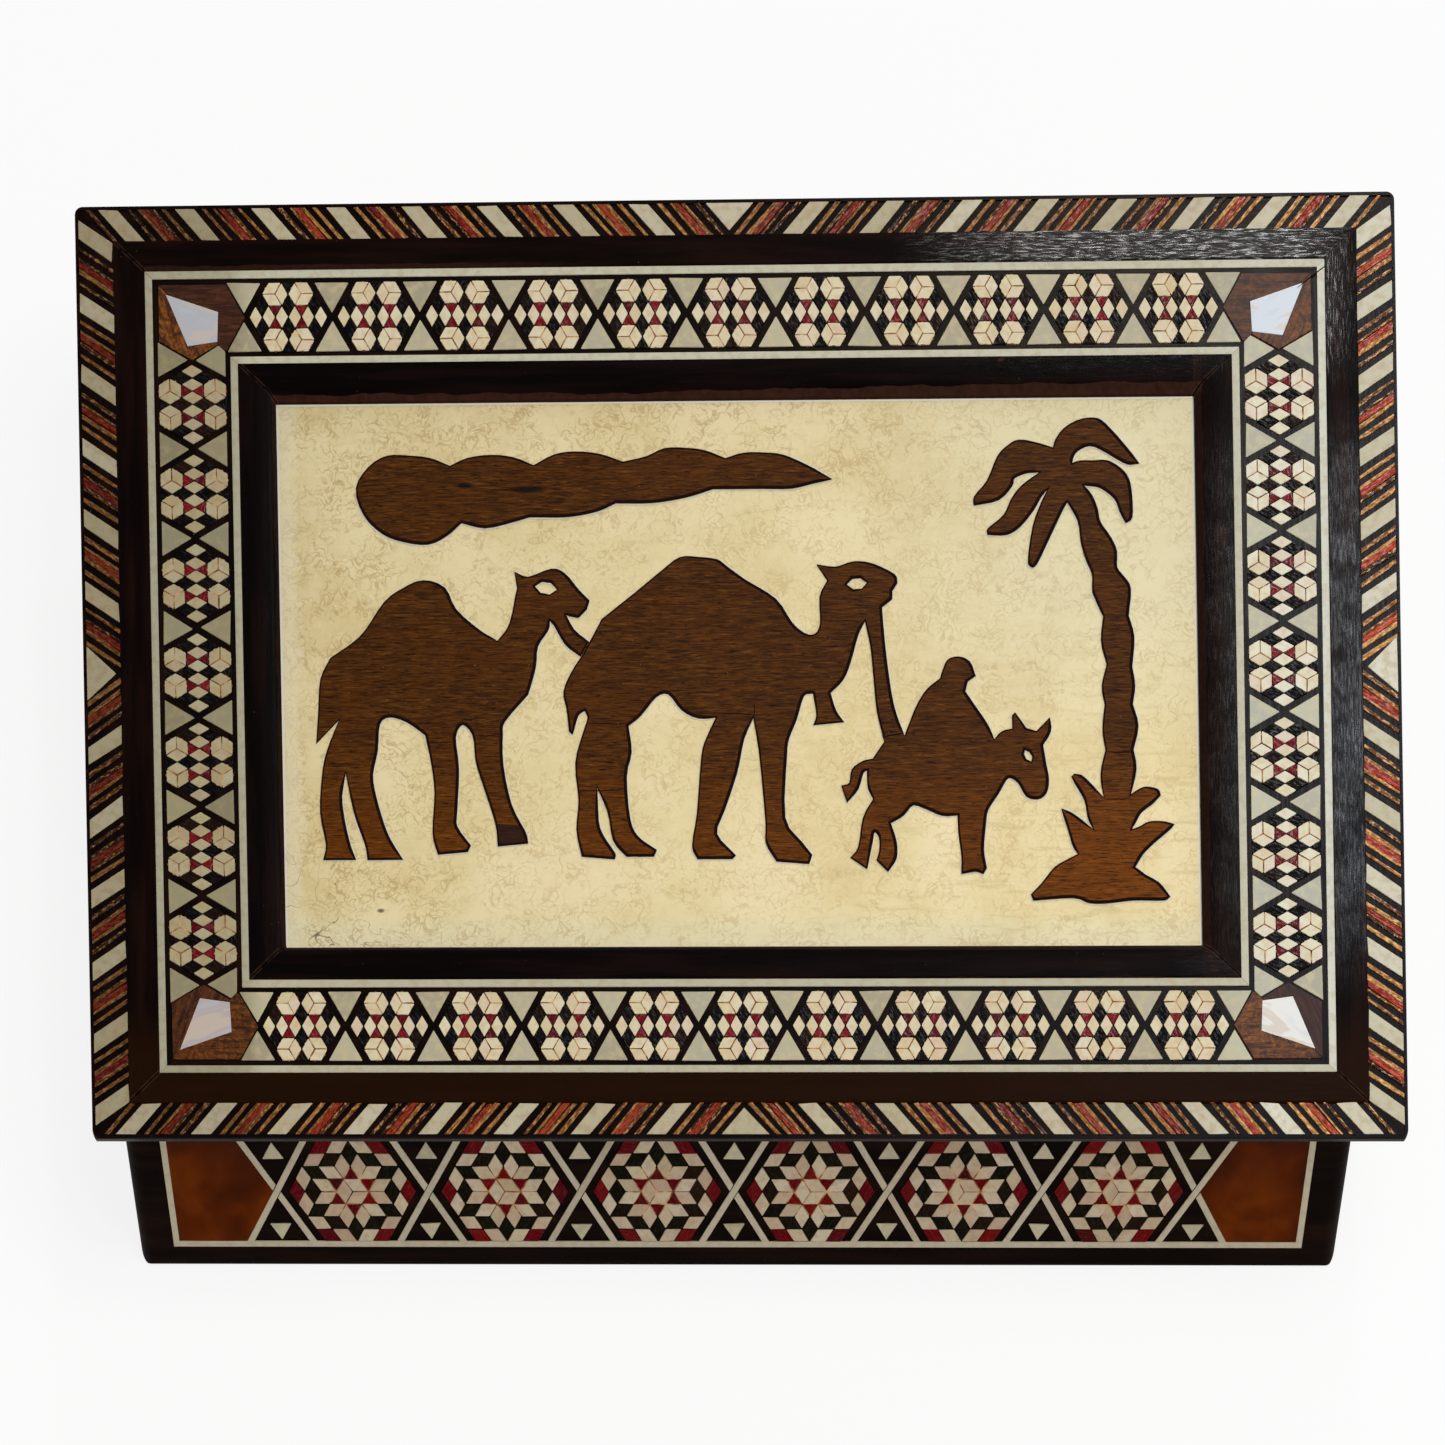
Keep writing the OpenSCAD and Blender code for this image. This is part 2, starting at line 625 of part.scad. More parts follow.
module inner_frame() {
    e = frame_ease;
    color(ebony) translate([0, 0, deck_z]) for (k = [0:3]) {
        w = in_from(inner_frame_ring, k);
        rail(at_inner_frame, inner_frame_ring, k,
            [[0, 0], [w, 0], [w, inner_step_h], [w - inner_slope_w, frame_t], [e, frame_t], [0, frame_t - e]]);
    }
}

line_ring = [line_w, line_w];
module outer_lines() { color(bone) translate([0, 0, deck_z]) flat_ring(at_outer_line, line_ring, inlay_t); }
module inner_lines() { color(bone) translate([0, 0, deck_z]) flat_ring(at_inner_line, line_ring, inlay_t); }

// Black bed of the mosaic, with its margins, in four mitred pieces
module mosaic_beds() {
    w = band_w + 2 * margin_w;
    color(ebony) translate([0, 0, deck_z]) flat_ring(at_outer_margin, [w, w], inlay_t - proud);
}

// Band k of the lid's mosaic: x along it from its middle, y = 0 on its centre line
function band_l(k) = along(lid_half - at_inner_margin, k);
end_air = 1.2;                           // least length left between the last motif and the corner
function motif_count(k) = floor((band_l(k) - 2 * end_air) / motif_pitch);
function motif_xs(k) = [for (i = [0:1:motif_count(k) - 1]) (i - (motif_count(k) - 1) / 2) * motif_pitch];
function band_crossings(k) = [for (i = [0:1:motif_count(k)]) (i - motif_count(k) / 2) * motif_pitch];
module on_band(k) {
    at_side(lid_half - at_band, k) translate([0, band_w / 2, inlay_z - proud]) children();
}

// One motif, in units of its rhomb's side: four cubes round a row of six rhombs
motif_bone = concat(
    [for (x = [-1, 1], y = [-1, 1], p = cube_thirds)
        moved(turned(p, x > 0 ? 0 : 60), [x, y * 2 * row_h])],
    [for (x = [-2.5:1:2.5]) rhomb([x, 0])]);
motif_red = [for (x = [-1, 1], s = [0, 180])
    moved(turned([[0, 0], [0.5, row_h], [-0.5, row_h]], s), [x, 0])];
function on_motifs(k, motif) = [
    for (x = motif_xs(k), p = motif) moved([for (v = p) v * cube_side], [x, 0])];

module mosaic_bone() {
    color(bone) for (k = [0:3]) on_band(k) pieces(on_motifs(k, motif_bone), proud);
}
module mosaic_red() {
    color(crimson) for (k = [0:3]) on_band(k) pieces(on_motifs(k, motif_red), proud);
}

// Bone triangles that point at each crossing from both edges of the band, cut off at the mitres
filler_b = filler_h / sqrt(3);
filler = [[filler_b, -band_w / 2], [0, filler_h - band_w / 2], [-filler_b, -band_w / 2]];
function band_region(k) =
    let (x = band_l(k) / 2, w = band_w) [[-x - w, -w / 2], [x + w, -w / 2], [x, w / 2], [-x, w / 2]];
module mosaic_fillers() {
    color(grey_bone) for (k = [0:3]) on_band(k)
        for (x = band_crossings(k), s = [0, 180])
            pieces([without_doubles(clip_to(moved(turned(filler, s), [x, 0]), band_region(k)))],
                proud, joint_gap / 2);
}

// Brown corner block in two mitred halves, each with a tip along its band.
// [0, 0] is the lid's outer corner of the mosaic.
block_gap = 0.3;
function tip_reach(k) = (band_l(k) - motif_count(k) * motif_pitch) / 2;
filler_slope = filler_b / filler_h;
// How far the block reaches along band k at height y; its tips run parallel to the triangles
function block_reach(k, y) =
    band_w + tip_reach(k) - filler_b - block_gap * sqrt(1 + filler_slope * filler_slope) + y * filler_slope;
// The half along band k, drawn with its band along x
function block_half(k) =
    let (w = band_w, g = block_gap, m = [mitre_gap, -mitre_gap])
        clip([[g, g], [block_reach(k, g), g], [block_reach(k, w / 2), w / 2], [block_reach(k, g), w - g],
            [g, w - g]], m + [w, w], m);

module at_corners() {
    for (sx = [-1, 1], sy = [-1, 1]) scale([sx, sy, 1])
        translate([at_band[0] - lid_half[0], at_band[1] - lid_half[1], inlay_z - proud]) children();
}

// Mother-of-pearl kite, its sharp tip towards the lid's corner, let into the block
kite = [[0.13, 0.16], [0.9, 0.42], [0.88, 0.85], [0.44, 0.91]];
module pearl_outline(grow = 0) {
    polygon([for (p = kite) p * band_w + grow * unit(p - [0.6, 0.6])]);
}
pearl_kerf = 0.08;

module corner_blocks() {
    color("saddlebrown") at_corners() difference() {
        for (k = [0, 1]) linear_extrude(proud) polygon([for (p = block_half(k)) [p[k], p[1 - k]]]);
        translate([0, 0, -1]) linear_extrude(proud + 2) pearl_outline(pearl_kerf);
    }
}
module corner_pearls() { color("gainsboro") at_corners() linear_extrude(proud) pearl_outline(); }

module picture_panel() { color("wheat") slab(panel_half, deck_z, panel_t); }

// ---- Picture: walnut figures on the panel ----

// A closed curve through a figure's points; a third value of 1 makes a point a sharp corner
function flat(p) = [p[0], p[1]];
function slope(pts, i) =
    (flat(pts[(i + 1) % len(pts)]) - flat(pts[(i + len(pts) - 1) % len(pts)])) / 2;
curve_steps = 3;
function curve(pts) = [
    for (i = [0:len(pts) - 1], s = [0:curve_steps - 1])
        let (j = (i + 1) % len(pts), a = flat(pts[i]), b = flat(pts[j]), t = s / curve_steps,
            va = len(pts[i]) > 2 ? b - a : slope(pts, i),
            vb = len(pts[j]) > 2 ? b - a : slope(pts, j))
            a * (1 - 3 * t * t + 2 * t * t * t) + b * (3 * t * t - 2 * t * t * t)
            + va * (t - 2 * t * t + t * t * t) + vb * (t * t * t - t * t)];

// The figures are drawn for a panel with these half sizes, and follow the panel's size
drawn_half = [87.1, 51.5];
panel_half = lid_half - at_panel;
picture_k = min(panel_half[0] / drawn_half[0], panel_half[1] / drawn_half[1]);

module figure(pts) {
    translate([0, 0, deck_z + panel_t]) linear_extrude(proud) polygon([for (p = curve(pts)) p * picture_k]);
}
// An almond eye, cut through a figure down to the cream panel
module eye(at, l_drawn, a) {
    l = l_drawn * picture_k;
    h = l * 0.27;
    translate([at[0] * picture_k, at[1] * picture_k, deck_z]) rotate([0, 0, a]) linear_extrude(frame_t)
        polygon([[l / 2, 0], [l / 5, h], [-l / 5, h], [-l / 2, 0], [-l / 5, -h], [l / 5, -h]]);
}

camel_rear_outline = [
    [-80.5, -12.5, 1], [-80, -6.5], [-79.5, -0.5], [-77.5, 3.5, 1], [-73, 6.5], [-70.5, 9], [-67, 14],
    [-63.5, 16.5], [-59.5, 18], [-55.5, 16.5], [-53.5, 12.5], [-49, 8.5], [-45.5, 6.5, 1], [-43.5, 9],
    [-42.5, 12], [-42, 14.5], [-41.5, 16.5, 1], [-42, 19.5, 1], [-39.5, 18.5], [-35, 20], [-32.5, 19],
    [-30, 16], [-28, 14, 1], [-28.5, 12.5, 1], [-30, 11, 1], [-32.5, 11.5, 1], [-31, 8.5], [-28.2, 6.2, 1],
    [-29.7, 3.7, 1], [-32.5, 6], [-34.5, 9.5], [-35.5, 10.5, 1], [-36, 8.5], [-38, 5.5], [-38.5, 1.5],
    [-40, -3.5, 1], [-44.5, -8.5], [-45, -11], [-45, -17], [-43.5, -24.5], [-41, -29.5],
    [-40.5, -31.5, 1], [-46, -32, 1], [-46.5, -27.5], [-48.5, -21], [-50, -16], [-50.5, -11],
    [-52.5, -9], [-54, -11.5], [-53.5, -17.5], [-54, -25.5], [-54, -28.5], [-51.5, -32, 1],
    [-52, -33, 1], [-57.5, -33.5, 1], [-58.5, -29.5], [-58, -22], [-58.5, -16.5], [-59.5, -11, 1],
    [-63, -8.5], [-66.5, -7.5], [-68.5, -9], [-69, -14], [-70, -18.5], [-69.5, -22.5], [-68, -28],
    [-66.5, -31.5], [-64.5, -34.5, 1], [-71, -34.5, 1], [-71.5, -31.5], [-73.5, -25.5], [-75, -18, 1],
    [-76, -22.5], [-75.5, -27.5], [-74.5, -32], [-73.5, -34.5, 1], [-79.5, -34.5, 1], [-79, -31.5],
    [-80, -25.5], [-79.5, -18.5], [-78.5, -14], [-76, -8, 1]];
camel_front_outline = [
    [-28, 6, 1], [-25.5, 10.5, 1], [-19, 15.5], [-14, 19.5], [-10.5, 22], [-7, 22], [-3.5, 21.5],
    [-1.5, 20], [2, 17.5], [7.5, 14], [10.5, 9.5], [13, 7.5], [15, 7.5], [16, 9.5], [16, 14.5],
    [17.5, 17.5, 1], [15.5, 20.5, 1], [19, 20], [22.5, 21], [26, 20.5], [30, 18.5], [30.5, 17, 1],
    [29.5, 15.5, 1], [29.5, 14, 1], [27.5, 12.5, 1], [28, 5], [29, -3.5], [30, -8], [31.3, -11.3, 1],
    [27.7, -12, 1], [26.5, -7], [26, -1.5], [25.5, 5], [24.5, 10, 1], [23, 7.5], [21.5, 2.5], [20, -1],
    [17.5, -3.5, 1], [18.5, -7], [20, -9, 1], [14.5, -9.5, 1], [15, -7.5], [14.5, -3.5, 1], [12.5, -4],
    [11, -8.5], [9.5, -12], [9, -15.5], [8.5, -27], [11.5, -31.5], [13.5, -34, 1], [13, -35.5, 1],
    [7, -35, 1], [5, -31.5], [5, -27.5], [4, -14.5], [3, -8, 1], [1, -12], [-0.5, -18.5], [-3, -25.5],
    [-4.5, -30], [-1, -34, 1], [-1.5, -34.5, 1], [-8, -34.5, 1], [-9, -32], [-8, -26], [-7, -15.5],
    [-6, -12], [-4, -8, 1], [-7.5, -8], [-10.5, -6.5], [-13, -3.5], [-15.5, -4], [-18.5, -7.5],
    [-21, -9.5, 1], [-20.5, -14.5], [-21.5, -19], [-21, -27], [-19.5, -30.5], [-16, -33, 1],
    [-16.5, -34, 1], [-21.5, -34, 1], [-24, -31], [-25, -25.5], [-27, -21, 1], [-27, -27.5],
    [-26, -30.5], [-24, -33.5], [-24, -34.5, 1], [-30, -34, 1], [-31, -29], [-30.5, -23.5], [-31, -16.5],
    [-29.5, -11], [-28.5, -8], [-29, -6.5, 1], [-30.5, -7.5], [-31.5, -11, 1], [-32, -10.5, 1],
    [-32.5, -6], [-33, -3], [-31.5, 0.5], [-29.5, 3.5, 1]];
donkey_rider_outline = [
    [28, -12.5, 1], [31.5, -12, 1], [32.5, -9.5], [34, -6], [36, -3], [38.5, -1, 1], [39, 0.5],
    [40, 2.5], [42, 3], [44, 2], [45, -0.5, 1], [43.5, -1.5, 1], [43, -3.5, 1], [45, -6.5], [47, -9.5],
    [48.5, -12.5, 1], [50, -11], [52, -10.5, 1], [52, -8, 1], [52.5, -7.5, 1], [54.5, -10.5, 1],
    [56.5, -11, 1], [59, -8.5, 1], [59, -11], [57.5, -13.5, 1], [58, -17], [58.5, -20], [58, -22.5],
    [56.5, -23.5], [54.5, -23], [53, -20.5], [51.5, -19.5], [50.5, -20], [49, -22.5], [47, -25.5],
    [46.5, -28], [46, -33], [46.5, -36.5, 1], [46, -37.5, 1], [44.5, -37], [42, -37.5, 1], [42, -34],
    [41.5, -29.5], [41.5, -26.5, 1], [38.5, -26.5], [36, -25.5], [33, -24.5], [31, -26.5],
    [28.5, -28, 1], [29.5, -31.5], [29.5, -34.5], [28, -37, 1], [26, -35, 1], [26.5, -33], [26.5, -30.5],
    [25.5, -29.5], [25, -31.5], [24, -36.5, 1], [21, -34.5, 1], [22.5, -32.5], [23.5, -27],
    [25.5, -23.5, 1], [24.5, -21], [24.5, -18, 1], [23.5, -18.5], [22.5, -21.5], [20.5, -24, 1],
    [19.5, -21, 1], [21, -20.5], [21.5, -18], [23.5, -16.5], [25.5, -16, 1]];
palm_tree_outline = [
    [67.5, 15.5], [67.5, 18.5], [66.5, 21], [65.5, 24.5], [65, 28.5], [63, 32, 1], [62, 30.5],
    [59.5, 25.5], [57, 20.5], [56, 20], [55.5, 21.5], [56.5, 27.5], [58, 31.5], [59.5, 34.5, 1],
    [58, 33], [56.5, 30.5], [54, 27.5], [51.5, 26], [48, 26, 1], [48, 27], [51, 29.5], [52.5, 32.5],
    [54.5, 35], [58, 37.5, 1], [55.5, 37.5], [53, 36.5], [52.5, 35], [50, 32.5], [45.5, 31.5, 1],
    [45.5, 33], [48, 36], [50, 40.5], [52, 42.5], [54, 43.5], [57, 43], [60.5, 42, 1], [61, 43.5],
    [62.5, 45.5], [65, 47], [67.5, 47.5], [69.5, 47], [72, 44.5], [74.5, 41.5], [76.5, 39, 1],
    [74.5, 39], [72.5, 40], [70, 41.5], [67.5, 42.5], [65, 41.5], [64, 40], [64, 39, 1], [65.5, 39.5],
    [68, 39.5], [70.5, 39.5], [73, 38], [74.5, 36], [75, 33], [75, 29], [74, 28, 1], [73, 30],
    [72, 32.5], [69.5, 34.5], [67.5, 35], [66, 35, 1], [67.5, 33], [68.5, 30.5], [69, 28], [71, 25],
    [72, 22.5], [72, 19.5], [73.5, 17.5], [74.5, 15.5], [74, 10.5, 1], [75, 6.5], [74.5, 1, 1],
    [75, -2.5], [74.5, -6, 1], [75.5, -10], [74.5, -14.5, 1], [75, -18], [74, -23, 1], [75.5, -22],
    [77, -21.5], [79, -22], [79.5, -23, 1], [78, -24.5], [76, -26], [75, -27.5], [74, -29.5, 1],
    [75.5, -29], [77.5, -28], [80, -28], [82, -28.5, 1], [81, -29.5], [78, -32], [76, -34],
    [74.5, -36.5, 1], [76.5, -38], [79, -39.5], [81, -42, 1], [80, -42.5], [77, -42.5], [74, -42.5],
    [69.5, -43], [66, -43], [63, -42], [55.5, -42.5, 1], [55, -41.5, 1], [57, -39.5], [59.5, -36.5],
    [62, -35], [64, -34, 1], [63, -32], [62, -28.5], [61, -25.5, 1], [63, -26.5], [65, -28],
    [67, -29.5, 1], [66, -27], [65.5, -24], [64.5, -22], [63, -19.5, 1], [63.5, -19, 1], [65, -19.5],
    [67, -21.5], [69, -23.5, 1], [68.5, -19], [69.5, -14.5, 1], [69, -10.5], [69.5, -6, 1], [69, -2.5],
    [70, 1.5, 1], [69, 6], [69.5, 10.5, 1], [68, 14]];
cloud_outline = [
    [-72, 35.5], [-69.5, 39.5], [-66, 41.5], [-62, 41.5], [-58, 41], [-54, 39.5, 1], [-50.5, 41],
    [-46, 41.5], [-42, 41], [-38, 39.5, 1], [-34, 41.5], [-30, 42], [-25.5, 41.5], [-21, 40, 1],
    [-16.5, 41], [-13, 42.5], [-9, 42.5], [-5.5, 42], [-1.5, 40.5, 1], [2, 41.5], [6, 41.5], [9.5, 41],
    [14, 39], [18.5, 36.5, 1], [15.5, 36], [11, 35], [5.5, 35], [-4, 35, 1], [-9, 33.5], [-15.5, 32.5],
    [-22.5, 32.5, 1], [-26, 31], [-31.5, 30], [-39, 30, 1], [-42.5, 29], [-47.5, 28], [-52, 29, 1],
    [-55, 26.5], [-58.5, 25], [-63, 25.5], [-67, 27], [-70.5, 30.5]];

module camel_rear() {
    color(walnut) difference() {
        figure(camel_rear_outline);
        eye([-36.1, 16.5], 4.6, -8);
    }
}
module camel_front() {
    color(walnut) difference() {
        figure(camel_front_outline);
        eye([23, 16.9], 4.2, 5);
    }
}
module donkey_rider() {
    color(walnut) difference() {
        figure(donkey_rider_outline);
        eye([54.8, -15.5], 2.8, -62);
    }
}
module palm_tree() { color(walnut) figure(palm_tree_outline); }
module cloud() { color(walnut) figure(cloud_outline); }

// Velvet pad on the underside of the lid, inside the rim when the lid is shut
module lid_lining() {
    in = facing_t + wall_t + lining_t + pad_gap;
    color(velvet) on_case() slab(case_half - [in, in], lid_z - lid_pad_t, lid_pad_t);
}

bottom_board();
front_wall();
back_wall();
left_wall();
right_wall();
front_facing();
back_facing();
left_facing();
right_facing();
case_lines();
star_beds();
star_bone();
star_red();
star_strings();
star_fillers();
end_panels();
floor_lining();
front_lining();
back_lining();
left_lining();
right_lining();
left_hinge_case_leaf();
right_hinge_case_leaf();
left_hinge_pin();
right_hinge_pin();
case_hinge_screws();
lid_board();
lid_edging();
stripe_beds();
stripe_bone();
stripe_red();
stripe_tan();
outer_frame();
outer_lines();
inner_lines();
mosaic_beds();
mosaic_bone();
mosaic_red();
mosaic_fillers();
corner_blocks();
corner_pearls();
inner_frame();
picture_panel();
camel_rear();
camel_front();
donkey_rider();
palm_tree();
cloud();
lid_lining();
left_hinge_lid_leaf();
right_hinge_lid_leaf();
lid_hinge_screws();
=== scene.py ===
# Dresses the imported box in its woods, bone, shell, brass and velvet. Metres, +Z up, front towards -Y.
import math
import random
import bpy
import bmesh
from mathutils import Matrix, Vector


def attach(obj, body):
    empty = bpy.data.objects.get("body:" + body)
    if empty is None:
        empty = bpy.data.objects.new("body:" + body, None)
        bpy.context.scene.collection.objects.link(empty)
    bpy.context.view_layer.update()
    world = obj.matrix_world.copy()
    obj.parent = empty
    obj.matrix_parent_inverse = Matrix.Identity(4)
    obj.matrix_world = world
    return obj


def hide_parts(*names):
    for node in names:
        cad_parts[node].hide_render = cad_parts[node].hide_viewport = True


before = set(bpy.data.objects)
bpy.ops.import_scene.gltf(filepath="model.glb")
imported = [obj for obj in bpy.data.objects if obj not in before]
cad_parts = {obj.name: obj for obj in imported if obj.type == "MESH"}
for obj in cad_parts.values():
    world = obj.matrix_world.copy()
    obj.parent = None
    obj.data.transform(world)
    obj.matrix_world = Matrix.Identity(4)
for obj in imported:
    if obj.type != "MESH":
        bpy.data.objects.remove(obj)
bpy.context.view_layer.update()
bpy.ops.object.select_all(action="DESELECT")
mm = 0.001
up = Vector((0, 0, 1))
caseShape = {"half": (118.0, 80.5), "middle": (-2.0, 0.0)}  # the case seen from above, in mm


def pick(obj):
    bpy.ops.object.select_all(action="DESELECT")
    obj.select_set(True)
    bpy.context.view_layer.objects.active = obj


# Runs edit-mode operators, each on the whole piece
def reshape(piece, *steps):
    pick(piece)
    bpy.ops.object.mode_set(mode="EDIT")
    for operator, settings in steps:
        bpy.ops.mesh.select_all(action="SELECT")
        operator(**settings)
    bpy.ops.mesh.select_all(action="DESELECT")
    bpy.ops.object.mode_set(mode="OBJECT")


# A copy of a CAD node's mesh, its loose triangles merged and its flat faces made whole
def liftNode(node, pieceName):
    piece = bpy.data.objects.new(pieceName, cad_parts[node].data.copy())
    bpy.context.scene.collection.objects.link(piece)
    piece.data.materials.clear()
    pick(piece)
    if piece.data.has_custom_normals:
        bpy.ops.mesh.customdata_custom_splitnormals_clear()
    reshape(piece, (bpy.ops.mesh.remove_doubles, {"threshold": 0.000002}),
            (bpy.ops.mesh.dissolve_limited, {"angle_limit": math.radians(0.5)}))
    return piece


def finishPiece(piece, body, nodes=(), smoothAngle=30):
    pick(piece)
    bpy.ops.object.transform_apply(location=True, rotation=True, scale=True)
    if smoothAngle:
        bpy.ops.object.shade_smooth_by_angle(angle=math.radians(smoothAngle))
    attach(piece, body)
    if nodes:
        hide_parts(*nodes)
    piece.select_set(False)
    return piece


# Connected groups of vertices, in an order that depends on their places alone
def islandsOf(bm):
    seen, found = set(), []
    for first in bm.verts:
        if first in seen:
            continue
        group, todo = [], [first]
        seen.add(first)
        while todo:
            vert = todo.pop()
            group.append(vert)
            for edge in vert.link_edges:
                other = edge.other_vert(vert)
                if other not in seen:
                    seen.add(other)
                    todo.append(other)
        middle = sum((v.co for v in group), Vector()) / len(group)
        found.append((round(middle.x, 5), round(middle.y, 5), round(middle.z, 5), group))
    found.sort(key=lambda row: row[:3])
    return [(Vector(row[:3]), row[3]) for row in found]


longSides = {"middleX": -0.002, "y": 0.0799, "slack": 0.0012, "halfLength": 0.1165}  # of the case, in metres


# Which way a group of inlay faces: up on the lid, outwards on the case
def faceDirection(middle, onLid):
    if onLid:
        return up
    x, y = middle.x - longSides["middleX"], middle.y
    if abs(abs(y) - longSides["y"]) < longSides["slack"] and abs(x) < longSides["halfLength"]:
        return Vector((0, math.copysign(1, y), 0))
    return Vector((math.copysign(1, x), 0, 0))


# Longest edge first, then by place
def edgeOrder(edge):
    ends = edge.verts[0].co + edge.verts[1].co
    return round(edge.calc_length(), 7), round(ends.x, 6), round(ends.y, 6)


# Gives every tessera its own tone, grain direction and small hand-cut errors.
# wobble: (shift, turn in degrees, growth, corner error), lengths in mm
def settle(piece, seed, wobble=(0, 0, 0, 0), onLid=True, tones=None):
    dice = random.Random(seed)
    shift, twist, growth, corner = wobble
    bm = bmesh.new()
    bm.from_mesh(piece.data)
    tone = bm.faces.layers.float.new("tone")
    hue = bm.faces.layers.float.new("hue")
    grain = bm.loops.layers.uv.new("grain")
    for index, (middle, group) in enumerate(islandsOf(bm)):
        out = faceDirection(middle, onLid)
        faces = {f for v in group for f in v.link_faces}
        top = max(faces, key=lambda f: f.calc_area() * (1 + 0.2 * f.normal.dot(out)))
        edge = max(top.edges, key=edgeOrder)
        along = edge.verts[1].co - edge.verts[0].co
        along = (along - out * along.dot(out)).normalized()
        if along.x + 0.5 * along.y + 0.3 * along.z < 0:
            along = -along
        across = out.cross(along)
        angle = math.radians(dice.uniform(-twist, twist))
        move = (along * dice.uniform(-shift, shift) + across * dice.uniform(-shift, shift)) * mm
        grow = 1 + growth * dice.uniform(0.5, 1.3)
        errors = {}
        for vert in group:
            flat = vert.co - middle
            a, b, c = flat.dot(along), flat.dot(across), flat.dot(out)
            if corner:
                key = (round(a, 5), round(b, 5))
                if key not in errors:
                    errors[key] = (dice.uniform(-corner, corner) * mm, dice.uniform(-corner, corner) * mm)
                a, b = a + errors[key][0], b + errors[key][1]
            a, b = a * grow, b * grow
            a, b = a * math.cos(angle) - b * math.sin(angle), a * math.sin(angle) + b * math.cos(angle)
            vert.co = middle + along * a + across * b + out * c + move
        ownTone, ownHue = dice.random(), dice.random()
        if tones:
            ownTone = tones[index]
        start = (dice.uniform(-200, 200), dice.uniform(-200, 200))
        for face in faces:
            face[tone] = ownTone
            face[hue] = ownHue
            for loop in face.loops:
                flat = loop.vert.co - middle
                loop[grain].uv = (flat.dot(along) / mm + start[0], flat.dot(across) / mm + start[1])
    bm.normal_update()
    bm.to_mesh(piece.data)
    bm.free()


# Rounds the upright corners and eases the top edges of every tessera
def easeTesserae(piece, cornerRound, topEase, onLid=True):
    pick(piece)
    for size, upright in ((cornerRound, True), (topEase, False)):
        if not size:
            continue
        bpy.ops.object.mode_set(mode="EDIT")
        bpy.ops.mesh.select_mode(type="EDGE")
        bpy.ops.mesh.select_all(action="DESELECT")
        bm = bmesh.from_edit_mesh(piece.data)
        for edge in bm.edges:
            middle = (edge.verts[0].co + edge.verts[1].co) / 2
            out = faceDirection(middle, onLid)
            direction = (edge.verts[1].co - edge.verts[0].co).normalized()
            if upright:
                edge.select_set(abs(direction.dot(out)) > 0.9)
            else:
                facing = [f.normal.dot(out) for f in edge.link_faces]
                edge.select_set(len(facing) == 2 and max(facing) > 0.9 and min(facing) < 0.5)
        bmesh.update_edit_mesh(piece.data)
        bpy.ops.mesh.bevel(offset=size * mm, segments=1, affect="EDGES", clamp_overlap=True)
        bpy.ops.mesh.select_all(action="DESELECT")
        bpy.ops.object.mode_set(mode="OBJECT")


def colour(code):
    parts = [int(code[i:i + 2], 16) / 255 for i in (0, 2, 4)]
    return tuple(p / 12.92 if p <= 0.04045 else ((p + 0.055) / 1.055) ** 2.4 for p in parts) + (1.0,)


def add(tree, kind, inputs=(), **settings):
    made = tree.nodes.new(kind)
    for key, value in settings.items():
        setattr(made, key, value)
    for key, value in dict(inputs).items():
        if isinstance(value, bpy.types.NodeSocket):
            tree.links.new(value, made.inputs[key])
        else:
            made.inputs[key].default_value = value
    return made


def startMaterial(name, roughness, specular=0.35, coat=0, coatRoughness=0.15):
    material = bpy.data.materials.new(name)
    material.use_nodes = True
    shader = material.node_tree.nodes["Principled BSDF"]
    shader.inputs["Roughness"].default_value = roughness
    shader.inputs["Specular IOR Level"].default_value = specular
    shader.inputs["Coat Weight"].default_value = coat
    shader.inputs["Coat Roughness"].default_value = coatRoughness
    return material, material.node_tree, shader


# Places on the object in mm, or along and across each tessera's own grain
def places(tree, scale=(1, 1, 1), turn=0, grain=False):
    if grain:
        source = add(tree, "ShaderNodeUVMap", uv_map="grain").outputs["UV"]
    else:
        source = add(tree, "ShaderNodeTexCoord").outputs["Object"]
        scale = [s / mm for s in scale]
    return add(tree, "ShaderNodeMapping", {"Vector": source, "Scale": scale,
               "Rotation": (0, 0, math.radians(turn))}).outputs["Vector"]


# The object's own X, Y and Z in mm
def axes(tree):
    return add(tree, "ShaderNodeSeparateXYZ", {"Vector": places(tree)}).outputs


def noise(tree, vector, size, detail=2, roughness=0.5, distortion=0):
    return add(tree, "ShaderNodeTexNoise", {"Vector": vector, "Scale": 1 / size, "Detail": detail,
               "Roughness": roughness, "Distortion": distortion}).outputs["Fac"]


def ramp(tree, value, *stops):
    made = add(tree, "ShaderNodeValToRGB", {"Fac": value})
    elements = made.color_ramp.elements
    while len(elements) < len(stops):
        elements.new(0.5)
    for element, (place, code) in zip(elements, stops):
        element.position = place
        element.color = colour(code) if isinstance(code, str) else (code, code, code, 1)
    return made.outputs["Color"]


# One of a material's tones, picked by the tessera's own number
def toneRamp(tree, tones):
    return ramp(tree, own(tree, "tone"), *[(i / (len(tones) - 1), t) for i, t in enumerate(tones)])


def mixed(tree, share, first, second, mode="MIX"):
    made = add(tree, "ShaderNodeMix", data_type="RGBA", blend_type=mode)
    for index, value in ((0, share), (6, first), (7, second)):
        if isinstance(value, bpy.types.NodeSocket):
            tree.links.new(value, made.inputs[index])
        else:
            made.inputs[index].default_value = colour(value) if isinstance(value, str) else value
    return made.outputs[2]


# A colour laid over a shade through a mask, at a share of its strength
def stain(tree, shade, mask, share, code):
    return mixed(tree, times(tree, mask, share), shade, code)


